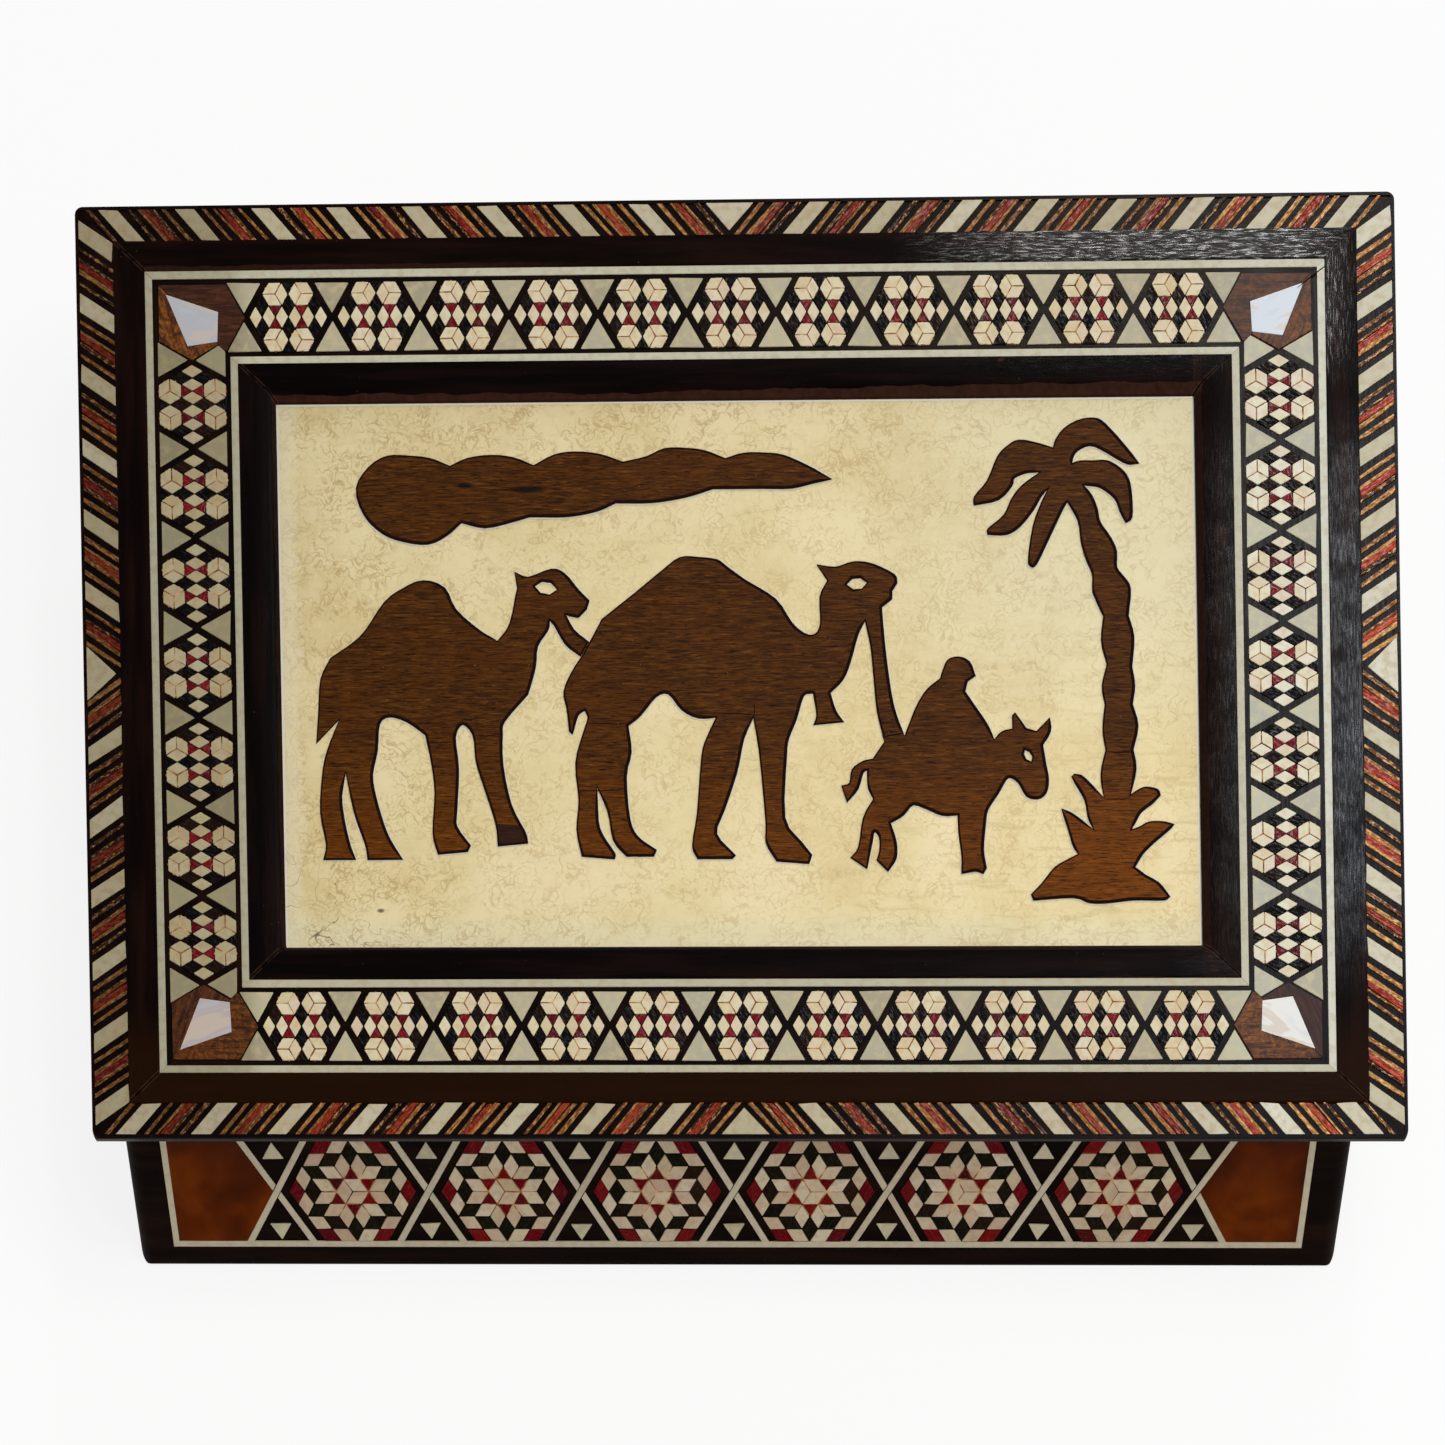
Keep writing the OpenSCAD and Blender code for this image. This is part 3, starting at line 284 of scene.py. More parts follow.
def maths(tree, kind, first, second=0.0, third=0.0):
    return add(tree, "ShaderNodeMath", {0: first, 1: second, 2: third}, operation=kind).outputs[0]


def times(tree, first, second):
    return maths(tree, "MULTIPLY", first, second)


def span(tree, value, low, high, outLow=0.0, outHigh=1.0):
    limits = {"Value": value, "From Min": low, "From Max": high, "To Min": outLow, "To Max": outHigh}
    return add(tree, "ShaderNodeMapRange", limits, interpolation_type="SMOOTHSTEP").outputs["Result"]


def own(tree, name):
    return add(tree, "ShaderNodeAttribute", attribute_name=name).outputs["Fac"]


def paint(tree, shader, shade):
    tree.links.new(shade, shader.inputs["Base Color"])


def bumped(tree, shader, height, strength, distance):
    bump = add(tree, "ShaderNodeBump", {"Height": height, "Strength": strength, "Distance": distance * mm})
    tree.links.new(bump.outputs["Normal"], shader.inputs["Normal"])


# Polish that survives only on some streaks
def polished(tree, shader, value, low, high, dull, bright):
    tree.links.new(span(tree, value, low, high, dull, bright), shader.inputs["Specular IOR Level"])


def rough(tree, shader, value, low, high):
    tree.links.new(span(tree, value, 0.3, 0.7, low, high), shader.inputs["Roughness"])


# Tint by place with painted light and shade: the lid's left border and mosaic are painted darker as painted
# shade, and its right ones paler and bluer as painted light
def tintWithPaintedLight(tree, shade, kind):
    x = axes(tree)["X"]
    left, middle, right = [share + (1,) for share in aged[kind]]
    tint = mixed(tree, span(tree, x, -91, -97), middle, left)
    tint = mixed(tree, span(tree, x, 86, 98), tint, right)
    return mixed(tree, 1.0, shade, tint, mode="MULTIPLY")


# Sawn and rubbed bone: a tone for each piece, cloudy inside, with fine dark pores along it
def boneMaterial(name, tones, pore, poreShare, cloud, cloudShare, kind):
    material, tree, shader = startMaterial(name, 0.42, 0.25)
    spot = places(tree, grain=True)
    base = toneRamp(tree, tones)
    cloudy = span(tree, noise(tree, spot, 1.6, 3), 0.42, 0.68)
    base = mixed(tree, times(tree, cloudy, cloudShare), base, cloud)
    long = places(tree, (0.25, 1.6, 1), grain=True)
    pores = span(tree, noise(tree, long, 0.55, 4, 0.65), 0.6, 0.78)
    base = mixed(tree, times(tree, pores, poreShare), base, pore)
    # Tinted, with painted shade on the lid's left and painted light on its right
    paint(tree, shader, tintWithPaintedLight(tree, base, kind))
    bumped(tree, shader, pores, 0.25, -0.02)
    return material


# Straight-grained wood, its grain along each piece
def woodMaterial(name, tones, dark, darkShare, paintedGlint, specular, kind):
    material, tree, shader = startMaterial(name, 0.28, specular)
    base = toneRamp(tree, tones)
    long = places(tree, (0.12, 1, 1), grain=True)
    streaks = span(tree, noise(tree, long, 0.35, 4, 0.7, 0.3), 0.4, 0.68)
    base = mixed(tree, times(tree, streaks, darkShare), base, dark)
    if paintedGlint:  # bright dashes are painted glints along the grain, dark dashes are short breaks in the grain
        glintsAndDashes = noise(tree, places(tree, (0.4, 1, 1), grain=True), 0.45, 3, 0.65, 0.3)
        base = mixed(tree, span(tree, glintsAndDashes, 0.53, 0.6, 0, 0.75), base, paintedGlint)
        base = mixed(tree, span(tree, glintsAndDashes, 0.45, 0.38, 0, 0.7), base, dark)
    # Tinted, with painted shade on the lid's left and painted light on its right
    paint(tree, shader, tintWithPaintedLight(tree, base, kind) if kind else base)
    glints = noise(tree, places(tree, (0.3, 1, 1), grain=True), 0.4, 3, 0.7)
    polished(tree, shader, glints, 0.48, 0.66, specular * 0.3, specular * 6)
    bumped(tree, shader, maths(tree, "ADD", streaks, glints), 0.5, -0.03)
    return material


material = {}
aged = {  # how much of its colour the lid's inlay shows at the left side (painted shade), in the middle and at the right side (painted light, bluish)
    "mosaic": ((0.55, 0.535, 0.48), (0.9, 0.9, 0.92), (0.95, 1.02, 1.17)),
    "line": ((0.68, 0.66, 0.62), (0.94, 0.94, 0.94), (1.0, 1.02, 1.08)),
    "stripe": ((0.62, 0.56, 0.48), (0.84, 0.78, 0.71), (1.02, 1.0, 1.0)),
    "wood": ((0.38, 0.36, 0.34), (0.74, 0.7, 0.68), (1.25, 1.3, 1.4)),
    "case": ((0.88, 0.82, 0.76),) * 3,
}
bones = {  # name, tones, pores and their share, clouds and their share, tint with painted light and shade by place
    "bone": ("bone line", "BFB99C CAC6AC D6D3BD C6BEA2", "84704A", 0.4, "B09A6C", 0.35, "line"),
    "stripeBone": ("striped border bone", "BFB99C CAC6AC DAD7C2 C6BEA2", "84704A", 0.45, "B09A6C", 0.45,
                   "stripe"),
    "caseLine": ("case bone line", "B8B29C C6C0AA BEB49C", "7A6248", 0.35, "A89078", 0.3, "case"),
    "whiteBone": ("white bone", "E4D6AC E9DEB8 DECBA0 EADFBE E2CCAC", "A4764A", 0.4, "D6B988", 0.55,
                  "mosaic"),
    "caseBone": ("case bone", "BAAA8C D2C8B0 BCA48C D0C6A8 B8A086", "7C5C44", 0.4, "A88872", 0.4, "case"),
    "greyBone": ("grey bone", "ACA184 C0B596 B8B196 C8BE9C", "8A7A5C", 0.25, "D6C794", 0.5, "mosaic"),
}
woods = {  # name, tones, dark streaks and their share, bright flecks as painted glints, specular, tint with painted light and shade by place
    "crimson": ("crimson wood", "4E0814 6A0A16 7A0C1A 7E1216", "35040A", 0.5, None, 0.1, None),
    "caseCrimson": ("case crimson wood", "5A0810 6C0A10 500A12 74100E 3A100E", "2E0408", 0.5, None, 0.012,
                    None),
    # The red and tan woods' bright flecks are painted glints
    "red": ("red wood", "862010 A0341A 8A1A18 AC4220 6E1C14", "4E150C", 0.5, "C25236", 0.1, "wood"),
    "tan": ("tan wood", "4E2C12 98622E B07638 BE8648 744420 301A0B", "2E180A", 0.6, "E0AA70", 0.1, "wood"),
    "caseChip": ("case ebony chips", "120F07 1A150B 0F0E08 2A180C", "070502", 0.5, None, 0.008, None),
    "ebonyChip": ("ebony chips", "0A0809 100B0A 0B0A0E 25140C", "040303", 0.5, None, 0.04, None),
}
for table, make in ((bones, boneMaterial), (woods, woodMaterial)):
    for key, (name, tones, *rest) in table.items():
        material[key] = make(name, tones.split(), *rest)


# Ebony rails: near black with a brown cast, fine scratches along the grain
def ebonyMaterial(name, base="0D0706", brown="1C0E0A", specular=0.03, low=0.2, high=0.32, warmEdge=None,
                  relief=0.3, shine=None, mitre=None):
    material, tree, shader = startMaterial(name, 0.32, specular)
    broad = span(tree, noise(tree, places(tree, (0.03, 0.3, 1), grain=True), 1, 3), 0.4, 0.7)
    shade = mixed(tree, broad, base, brown)
    fine = noise(tree, places(tree, (0.06, 1, 1), grain=True), 0.5, 6, 0.75)
    scratches = span(tree, fine, 0.62, 0.76)
    shade = stain(tree, shade, scratches, 0.25, "3E2A20")
    # Pale specks: tiny scratches on the ebony, painted as highlight specks, so partly painted highlight
    specks = span(tree, noise(tree, places(tree), 0.5, 2), 0.76, 0.8)
    shade = stain(tree, shade, specks, 0.5, "8A7A6A")
    where = axes(tree)
    if shine:
        # Painted reflection: the outer front rail is painted browner, standing in for what its facing
        # reflects
        front = span(tree, where["Y"], -62, -74)
        shade = stain(tree, shade, front, 0.75, "241206")
    if warmEdge:
        sap = mixed(tree, noise(tree, places(tree), 1.1, 4), "1C0D08", "3E261C")
        shade = mixed(tree, warmEdge(tree), shade, sap)
    if mitre:  # dark joint where two rails meet, from the outer corner in by one width of each
        corner, widths = mitre
        gaps = [maths(tree, "SUBTRACT", corner[i], maths(tree, "ABSOLUTE", where[i])) for i in (0, 1)]
        off = maths(tree, "SUBTRACT", times(tree, gaps[0], widths[1]),
                    times(tree, gaps[1], widths[0]))
        away = maths(tree, "DIVIDE", maths(tree, "ABSOLUTE", off), math.hypot(*widths))
        # Lighter brown along the joint: partly worn edges, partly a painted highlight on them
        worn = span(tree, noise(tree, places(tree), 1.5, 2), 0.35, 0.6)
        shade = mixed(tree, times(tree, span(tree, away, 0.5, 0.15), times(tree, worn, 0.4)),
                      shade, "5A4030")
        shade = mixed(tree, span(tree, away, 0.24, 0.1, 0, 0.9), shade, "040202")
    paint(tree, shader, shade)
    rough(tree, shader, fine, low, high)
    if shine:  # brushed polish left towards the back right corner, and along the right side
        x, y = where["X"], where["Y"]
        glints = noise(tree, places(tree, (0.1, 1, 1), grain=True), 0.3, 5, 0.72, 0.3)
        corner = times(tree, span(tree, x, 30, 62), span(tree, x, 119, 105))
        corner = times(tree, corner, span(tree, y, 50, 68, 0, shine[0]))
        side = times(tree, span(tree, x, 80, 88), span(tree, y, 50, 24))
        side = times(tree, side, span(tree, y, -64, -38, 0, shine[1]))
        corner = times(tree, corner, span(tree, glints, 0.5, 0.66, 0.1, 3.0))
        patchy = span(tree, noise(tree, places(tree), 5, 4, 0.6), 0.36, 0.62, 0.35, 1.1)
        side = times(tree, side, times(tree, patchy, span(tree, glints, 0.44, 0.64, 0.4, 2.2)))
        sheen = maths(tree, "ADD", maths(tree, "ADD", corner, side), 0.008)
        tree.links.new(sheen, shader.inputs["Specular IOR Level"])
        bumped(tree, shader, maths(tree, "ADD", fine, glints), relief, 0.03)
    else:
        bumped(tree, shader, fine, relief, 0.02)
    return material


# Red-brown sapwood: along the back rail's inner edge, and low on the slope down to the picture
def outerSap(tree):
    where = axes(tree)
    wavy = maths(tree, "MULTIPLY_ADD", noise(tree, places(tree), 6, 3), 1.1, 75.9)
    strip = maths(tree, "LESS_THAN", where["Y"], wavy)
    back = times(tree, maths(tree, "GREATER_THAN", where["Y"], 70),
                 maths(tree, "GREATER_THAN", where["X"], -111.8))
    left = span(tree, where["X"], -60, -15, 0.7, 0)
    return times(tree, times(tree, strip, back), left)


def innerSap(tree):
    where = axes(tree)
    wavy = maths(tree, "MULTIPLY_ADD", noise(tree, places(tree), 7, 3), 0.6, 35.75)
    wavy = maths(tree, "ADD", wavy, span(tree, where["X"], -40, 60, 0, 0.35))
    low = maths(tree, "LESS_THAN", where["Z"], wavy)
    side = maths(tree, "MAXIMUM", span(tree, where["Y"], 51.0, 51.6, 0.5, 1.0),
                 span(tree, where["X"], 86.0, 86.9, 0, 0.4))
    patchy = span(tree, noise(tree, places(tree, (1, 0.2, 1)), 9, 3), 0.4, 0.7, 0.05, 0.6)
    low = maths(tree, "MAXIMUM", low, times(tree, maths(tree, "GREATER_THAN", where["X"], 86.9), patchy))
    return times(tree, low, side)


material["ebony"] = ebonyMaterial("ebony")
material["outerRail"] = ebonyMaterial("ebony outer rails", warmEdge=outerSap, relief=0.6, shine=(0.55, 0.12),
                                      mitre=((117.8, 81.4), (6, 5.7)))
material["innerRail"] = ebonyMaterial("ebony inner rails", "0A0606", "160C0A", warmEdge=innerSap, relief=0.6,
                                      shine=(0.03, 0.04), mitre=((94.21, 58.11), (7.1, 6.6)))
material["caseEbony"] = ebonyMaterial("ebony facings", "0A0301", "190B05", 0.015, 0.42, 0.55, relief=0.2)


# Plain carcass wood, on Object coordinates
def carcassMaterial(name, stained=None):
    material, tree, shader = startMaterial(name, 0.55, 0.2)
    streaks = noise(tree, places(tree, (0.05, 0.6, 0.6)), 1, 5, 0.6, 0.4)
    shade = ramp(tree, streaks, (0.3, "7A5232"), (0.52, "94683F"), (0.72, "A87E52"))
    if stained:  # half width and depth inside which the board stays bare
        where = axes(tree)
        wavy = times(tree, noise(tree, places(tree), 5, 3), 0.4)
        beyondX = maths(tree, "SUBTRACT", maths(tree, "ABSOLUTE", where["X"]), stained[0])
        beyondY = maths(tree, "SUBTRACT", maths(tree, "ABSOLUTE", where["Y"]), stained[1])
        beyond = maths(tree, "SUBTRACT", maths(tree, "MAXIMUM", beyondX, beyondY), wavy)
        shade = mixed(tree, span(tree, beyond, -0.4, 0.4), shade, mixed(tree, streaks, "0C0504", "1E0F0A"))
    paint(tree, shader, shade)
    bumped(tree, shader, streaks, 0.2, 0.1)
    return material


material["carcass"] = carcassMaterial("carcass wood")
material["lidBoard"] = carcassMaterial("lid board wood", (113, 76))


# Corner blocks: tone 0 is a plain red-brown half, tone 1 an orange burl
def burlMaterial():
    material, tree, shader = startMaterial("brown burl", 0.36, 0.14)
    grain = noise(tree, places(tree, (0.16, 1, 1), grain=True), 1.0, 5, 0.65, 0.5)
    swirl = noise(tree, places(tree, grain=True), 1.7, 5, 0.7, 1.6)
    plainHalf = ramp(tree, grain, (0.3, "1C0C07"), (0.48, "3A1A0F"), (0.62, "4E2716"), (0.75, "643820"))
    burlHalf = ramp(tree, swirl, (0.32, "2A1206"), (0.45, "5E300A"), (0.58, "864C12"), (0.72, "A06620"))
    lined = span(tree, noise(tree, places(tree, (0.1, 1, 1), grain=True), 0.6, 4, 0.7, 0.6), 0.48, 0.6)
    shade = mixed(tree, own(tree, "tone"), plainHalf, burlHalf)
    paint(tree, shader, mixed(tree, times(tree, lined, 0.75), shade, "1E0D06"))
    bumped(tree, shader, grain, 0.2, 0.06)
    return material


material["burl"] = burlMaterial()


def endPanelMaterial():
    material, tree, shader = startMaterial("end panel wood", 0.42, 0.015)
    cloudy = noise(tree, places(tree, (1, 1, 1)), 11, 3, 0.5, 0.3)
    shade = ramp(tree, cloudy, (0.34, "3E1500"), (0.5, "521E00"), (0.66, "682C02"))
    lines = span(tree, noise(tree, places(tree, (2.2, 2.2, 0.12)), 1, 4, 0.6), 0.55, 0.8)
    shade = stain(tree, shade, lines, 0.3, "300C02")
    where = axes(tree)
    shadow = times(tree, span(tree, where["Z"], 14, 27),
                   span(tree, noise(tree, places(tree), 14, 2), 0.4, 0.65))
    shade = stain(tree, shade, shadow, 0.6, "36140C")
    paint(tree, shader, shade)
    return material


material["endPanel"] = endPanelMaterial()


# Each kite has its own shell: the tone picks its tint, with soft bands along it
def pearlMaterial():
    material, tree, shader = startMaterial("mother of pearl", 0.3, 0.12, coat=0.05, coatRoughness=0.1)
    tint = ramp(tree, own(tree, "tone"), (0.0, "B8ACAA"), (0.33, "B8B8BC"), (0.66, "E6E4DE"), (1.0, "CDD4DE"))
    bands = noise(tree, places(tree, (0.3, 1, 1), grain=True), 3.2, 3, 0.5, 0.9)
    shade = mixed(tree, span(tree, bands, 0.54, 0.6, 0, 0.6), tint, "CFBCA6")
    shade = mixed(tree, span(tree, bands, 0.44, 0.36, 0, 0.35), shade, "B8C4D2")
    paint(tree, shader, shade)
    return material


material["pearl"] = pearlMaterial()


# A thin wavy line where a noise passes its middle value
def contour(tree, value, width, level=0.5):
    away = maths(tree, "ABSOLUTE", maths(tree, "SUBTRACT", value, level))
    return span(tree, away, 0.0, width, 1, 0)


# A soft oval at a place on the picture, all lengths in mm
def oval(tree, where, place, radii):
    parts = [maths(tree, "POWER", maths(tree, "DIVIDE", maths(tree, "SUBTRACT", where[axis], place[axis]),
                                        radii[axis]), 2) for axis in (0, 1)]
    return span(tree, maths(tree, "ADD", parts[0], parts[1]), 0.1, 1.2, 1, 0)


# Cream picture panel: shrunk varnish with curly hairlines, streaks on the right, a pale worn margin
def creamMaterial():
    material, tree, shader = startMaterial("cream panel", 0.44, 0.18)
    spot = places(tree)
    where = axes(tree)
    x, y = where["X"], where["Y"]
    base = ramp(tree, noise(tree, spot, 22, 3), (0.34, "E1CC96"), (0.5, "EAD8A4"), (0.66, "F1DFB0"))
    speckled = span(tree, noise(tree, spot, 2.6, 3, 0.6), 0.42, 0.64)
    base = stain(tree, base, speckled, 0.35, "F2E0B2")
    wavyY = maths(tree, "MULTIPLY_ADD", noise(tree, places(tree, (0.2, 1, 1)), 2.5, 3), 5, y)
    paleSide = maths(tree, "MAXIMUM", times(tree, span(tree, x, 10, 70), span(tree, y, -20, 20)),
                     span(tree, wavyY, -41, -47))
    base = stain(tree, base, paleSide, 0.6, "E6DEBA")
    leftTop = maths(tree, "MAXIMUM", span(tree, x, -20, -80), times(tree, span(tree, y, 20, 50),
                                                                       span(tree, x, 60, -20)))
    curls = contour(tree, noise(tree, spot, 2.6, 1.8, 0.5, 1.0), 0.055)
    patchy = span(tree, noise(tree, spot, 6, 3), 0.3, 0.6)
    amount = times(tree, patchy, maths(tree, "MULTIPLY_ADD", leftTop, 0.2, 0.26))
    base = mixed(tree, times(tree, curls, amount), base, "A8823E")
    fineCurls = contour(tree, noise(tree, spot, 1.6, 1.5, 0.5, 1.2), 0.045, 0.47)
    base = mixed(tree, times(tree, fineCurls, times(tree, amount, 0.75)), base, "B08C4C")
    slanting = span(tree, noise(tree, places(tree, (0.12, 0.8, 1), turn=-33), 1.3, 3, 0.6), 0.5, 0.72)
    right = times(tree, span(tree, x, 0, 50), span(tree, y, 20, -20))
    base = mixed(tree, times(tree, slanting, maths(tree, "MULTIPLY_ADD", right, 0.28, 0.1)), base, "C3AC74")
    margin = maths(tree, "MULTIPLY_ADD", noise(tree, spot, 6, 4, 0.7), 9.0, -88.6)
    pale = span(tree, maths(tree, "SUBTRACT", x, margin), 1.6, -1.2)
    base = stain(tree, base, pale, 0.5, "F2E8C4")
    rim = maths(tree, "MAXIMUM", maths(tree, "SUBTRACT", maths(tree, "ABSOLUTE", x), 86.7),
                maths(tree, "SUBTRACT", maths(tree, "ABSOLUTE", y), 51.1))
    base = mixed(tree, span(tree, rim, -0.05, 0.1, 0, 0.85), base, "F2EFE2")
    cracks = contour(tree, noise(tree, spot, 9, 2, 0.5, 1.2), 0.006, 0.47)
    lowLeft = times(tree, span(tree, x, -55, -75), span(tree, y, -28, -42))
    base = mixed(tree, times(tree, cracks, times(tree, lowLeft, 0.8)), base, "4A3A22")
    base = stain(tree, base, oval(tree, where, (-68.8, -44.1), (0.8, 0.45)), 0.8, "3A2A18")
    paint(tree, shader, base)
    bumped(tree, shader, curls, 0.25, -0.05)
    return material


material["cream"] = creamMaterial()


darkFoot = (-43.5, -28.1, 5)  # middle, top and half width of the rear camel's dark foot, in mm


# Walnut figures: grain across the picture, warmer low down, two dark knots in the cloud
def walnutMaterial():
    material, tree, shader = startMaterial("walnut figures", 0.4, 0.035)
    spot = places(tree)
    where = axes(tree)
    streaks = noise(tree, places(tree, (0.1, 1.0, 1), turn=-2), 0.4, 6, 0.78, 0.8)
    pores = span(tree, noise(tree, places(tree, (0.08, 1.0, 1), turn=1), 0.26, 2, 0.6), 0.53, 0.68)
    dark = ramp(tree, streaks, (0.3, "190B01"), (0.44, "3B1E06"), (0.56, "55300B"), (0.7, "774A1B"))
    warm = ramp(tree, streaks, (0.3, "331400"), (0.44, "613104"), (0.56, "784009"), (0.72, "905216"))
    low = times(tree, span(tree, where["Y"], -8, -34), span(tree, where["X"], 50, 64, 0.6, 1))
    shade = mixed(tree, low, dark, warm)
    blotch = span(tree, noise(tree, places(tree, (0.5, 1, 1)), 9, 3, 0.5, 0.4), 0.42, 0.68)
    shade = stain(tree, shade, blotch, 0.22, "5C2C04")
    shade = stain(tree, shade, pores, 0.8, "160A03")
    flecks = span(tree, noise(tree, places(tree, (0.35, 1.6, 1)), 0.8, 2), 0.66, 0.72)
    shade = stain(tree, shade, flecks, 0.75, "120804")
    knots = maths(tree, "MAXIMUM", oval(tree, where, (-39.2, 35.0), (4.2, 0.75)),
                  oval(tree, where, (-51.2, 35.8), (1.8, 0.6)))
    shade = stain(tree, shade, knots, 0.9, "0A0608")
    specks = span(tree, noise(tree, spot, 0.45, 1), 0.79, 0.82)
    shade = stain(tree, shade, specks, 0.6, "B08A5A")
    foot = [maths(tree, "SUBTRACT", where[i], darkFoot[i]) for i in (0, 1)]  # pieced in with darker wood
    pieced = times(tree, maths(tree, "LESS_THAN", maths(tree, "ABSOLUTE", foot[0]), darkFoot[2]),
                   maths(tree, "LESS_THAN", maths(tree, "MULTIPLY_ADD", foot[0], 0.06, foot[1]), 0))
    shade = mixed(tree, times(tree, pieced, 0.9), shade, mixed(tree, streaks, "120A06", "36201A"))
    paint(tree, shader, shade)
    bumped(tree, shader, streaks, 0.3, 0.06)
    return material


material["walnut"] = walnutMaterial()


def plainMaterial(name, code, roughness=0.5, specular=0.1):
    material, tree, shader = startMaterial(name, roughness, specular)
    cloudy = noise(tree, places(tree), 1.2, 3)
    darker = [c * 0.55 for c in colour(code)[:3]] + [1]
    paint(tree, shader, mixed(tree, cloudy, colour(code), darker))
    return material


# Dark lines: burnt lines and saw cuts; around the figures' lower and right sides, their extra width is
# painted shadow
material["burnt"] = plainMaterial("burnt line", "241007", 0.7, 0.02)
material["cutEdge"] = plainMaterial("pale cut edge", "F2EDDD", 0.4)


# Glue in the mosaic's joints, from dark red-brown to hardly darker than the bone
def glueMaterial():
    material, tree, shader = startMaterial("red-brown joints", 0.5, 0.05)
    cloudy = noise(tree, places(tree), 2.4, 3, 0.6)
    shade = ramp(tree, cloudy, (0.36, "4E2414"), (0.5, "9A6238"), (0.64, "CFA878"))
    paint(tree, shader, shade)
    return material


material["glue"] = glueMaterial()


def brassMaterial():
    material, tree, shader = startMaterial("aged brass", 0.32, 0.5)
    shader.inputs["Metallic"].default_value = 1
    worn = noise(tree, places(tree), 2.2, 4, 0.6)
    paint(tree, shader, ramp(tree, worn, (0.3, "7C6030"), (0.55, "B8924C"), (0.75, "CDAA62")))
    rough(tree, shader, worn, 0.25, 0.45)
    return material


material["brass"] = brassMaterial()


def velvetMaterial():
    material, tree, shader = startMaterial("wine velvet", 0.9, 0.15)
    shader.inputs["Sheen Weight"].default_value = 0.7
    shader.inputs["Sheen Roughness"].default_value = 0.35
    shader.inputs["Sheen Tint"].default_value = colour("C4606A")
    pile = noise(tree, places(tree), 0.35, 3, 0.7)
    crush = noise(tree, places(tree), 14, 3, 0.5, 0.6)
    shade = ramp(tree, crush, (0.3, "3E0810"), (0.6, "560C17"), (0.75, "6A1420"))
    paint(tree, shader, mixed(tree, times(tree, pile, 0.5), shade, "2C050B"))
    bumped(tree, shader, pile, 0.4, 0.2)
    return material


material["velvet"] = velvetMaterial()


def give(piece, *names):
    for name in names:
        piece.data.materials.append(material[name])

still = (0, 0, 0, 0)
inlay = {  # node: material, slot, wobble, corner round, top ease, seed
    "mosaic_bone": ("whiteBone", "bone", (0.03, 0.8, 0.012, 0.04), 0.12, 0.04, 11),
    "mosaic_red": ("crimson", "red_wood", (0.03, 1.0, 0.06, 0.04), 0.05, 0.03, 12),
    "mosaic_fillers": ("greyBone", "grey_bone", (0.06, 0.8, 0.0, 0.08), 0.12, 0.05, 13),
    "corner_blocks": ("burl", "burl", still, 0, 0.04, 14),
    "corner_pearls": ("pearl", "pearl", still, 0, 0.03, 15),
    "stripe_bone": ("stripeBone", "bone", (0.06, 0.9, 0.0, 0.14), 0.08, 0.04, 16),
    "stripe_red": ("red", "red_wood", (0.06, 1.0, 0.0, 0.12), 0, 0.03, 17),
    "stripe_tan": ("tan", "tan_wood", (0.08, 1.4, 0.02, 0.12), 0, 0.03, 18),
    "outer_lines": ("bone", "bone", still, 0, 0.05, 19),
    "inner_lines": ("bone", "bone", still, 0, 0.05, 20),
    "outer_frame": ("outerRail", "ebony", still, 0, 0, 21),
    "inner_frame": ("innerRail", "ebony", still, 0, 0, 22),
    "mosaic_beds": ("ebony", "ebony", still, 0, 0, 23),
    "stripe_beds": ("ebony", "ebony", still, 0, 0, 24),
    "lid_edging": ("ebony", "ebony", still, 0, 0, 25),
}
caseInlay = {
    "star_bone": ("caseBone", "bone", (0.04, 1.0, 0.01, 0.06), 0.12, 0.04, 31),
    "star_red": ("caseCrimson", "red_wood", (0.04, 1.0, 0.03, 0.05), 0.06, 0.03, 32),
    "star_strings": ("caseLine", "bone", (0, 0, 0, 0.03), 0, 0.03, 33),
    "star_fillers": ("greyBone", "grey_bone", (0.1, 2.0, 0.0, 0.08), 0.1, 0.03, 34),
    "end_panels": ("endPanel", "burl", still, 0, 0.04, 35),
    "case_lines": ("caseLine", "bone", still, 0, 0, 36),
    "star_beds": ("caseEbony", "ebony", still, 0, 0, 37),
}
for seed, side in enumerate(("front", "back", "left", "right"), 38):
    caseInlay[side + "_facing"] = ("caseEbony", "ebony", still, 0, 0, seed)
ownTones = {  # pieces in order from the left and the front
    "corner_blocks": [0.3, 0.95, 0.6, 0.1, 0.85, 0.4, 0.0, 0.7],
    "corner_pearls": [0.0, 0.33, 0.66, 1.0],
}
thinner = {"by": 0.5, "edge": (124.0, 87.0),
           "nodes": ["lid_edging", "stripe_beds", "stripe_bone", "stripe_red", "stripe_tan"]}


# The striped border runs out over half of the edging
def runOut(piece):
    for vert in piece.data.vertices:
        beyond = [abs(vert.co[i]) / mm - thinner["edge"][i] for i in (0, 1)]
        for i in (0, 1):
            if -0.1 < beyond[i] < 0.1 and beyond[1 - i] < 0.1:
                both = -0.1 < beyond[1 - i]
                vert.co[i] += math.copysign(thinner["by"] * (0.7 if both else 1) * mm, vert.co[i])


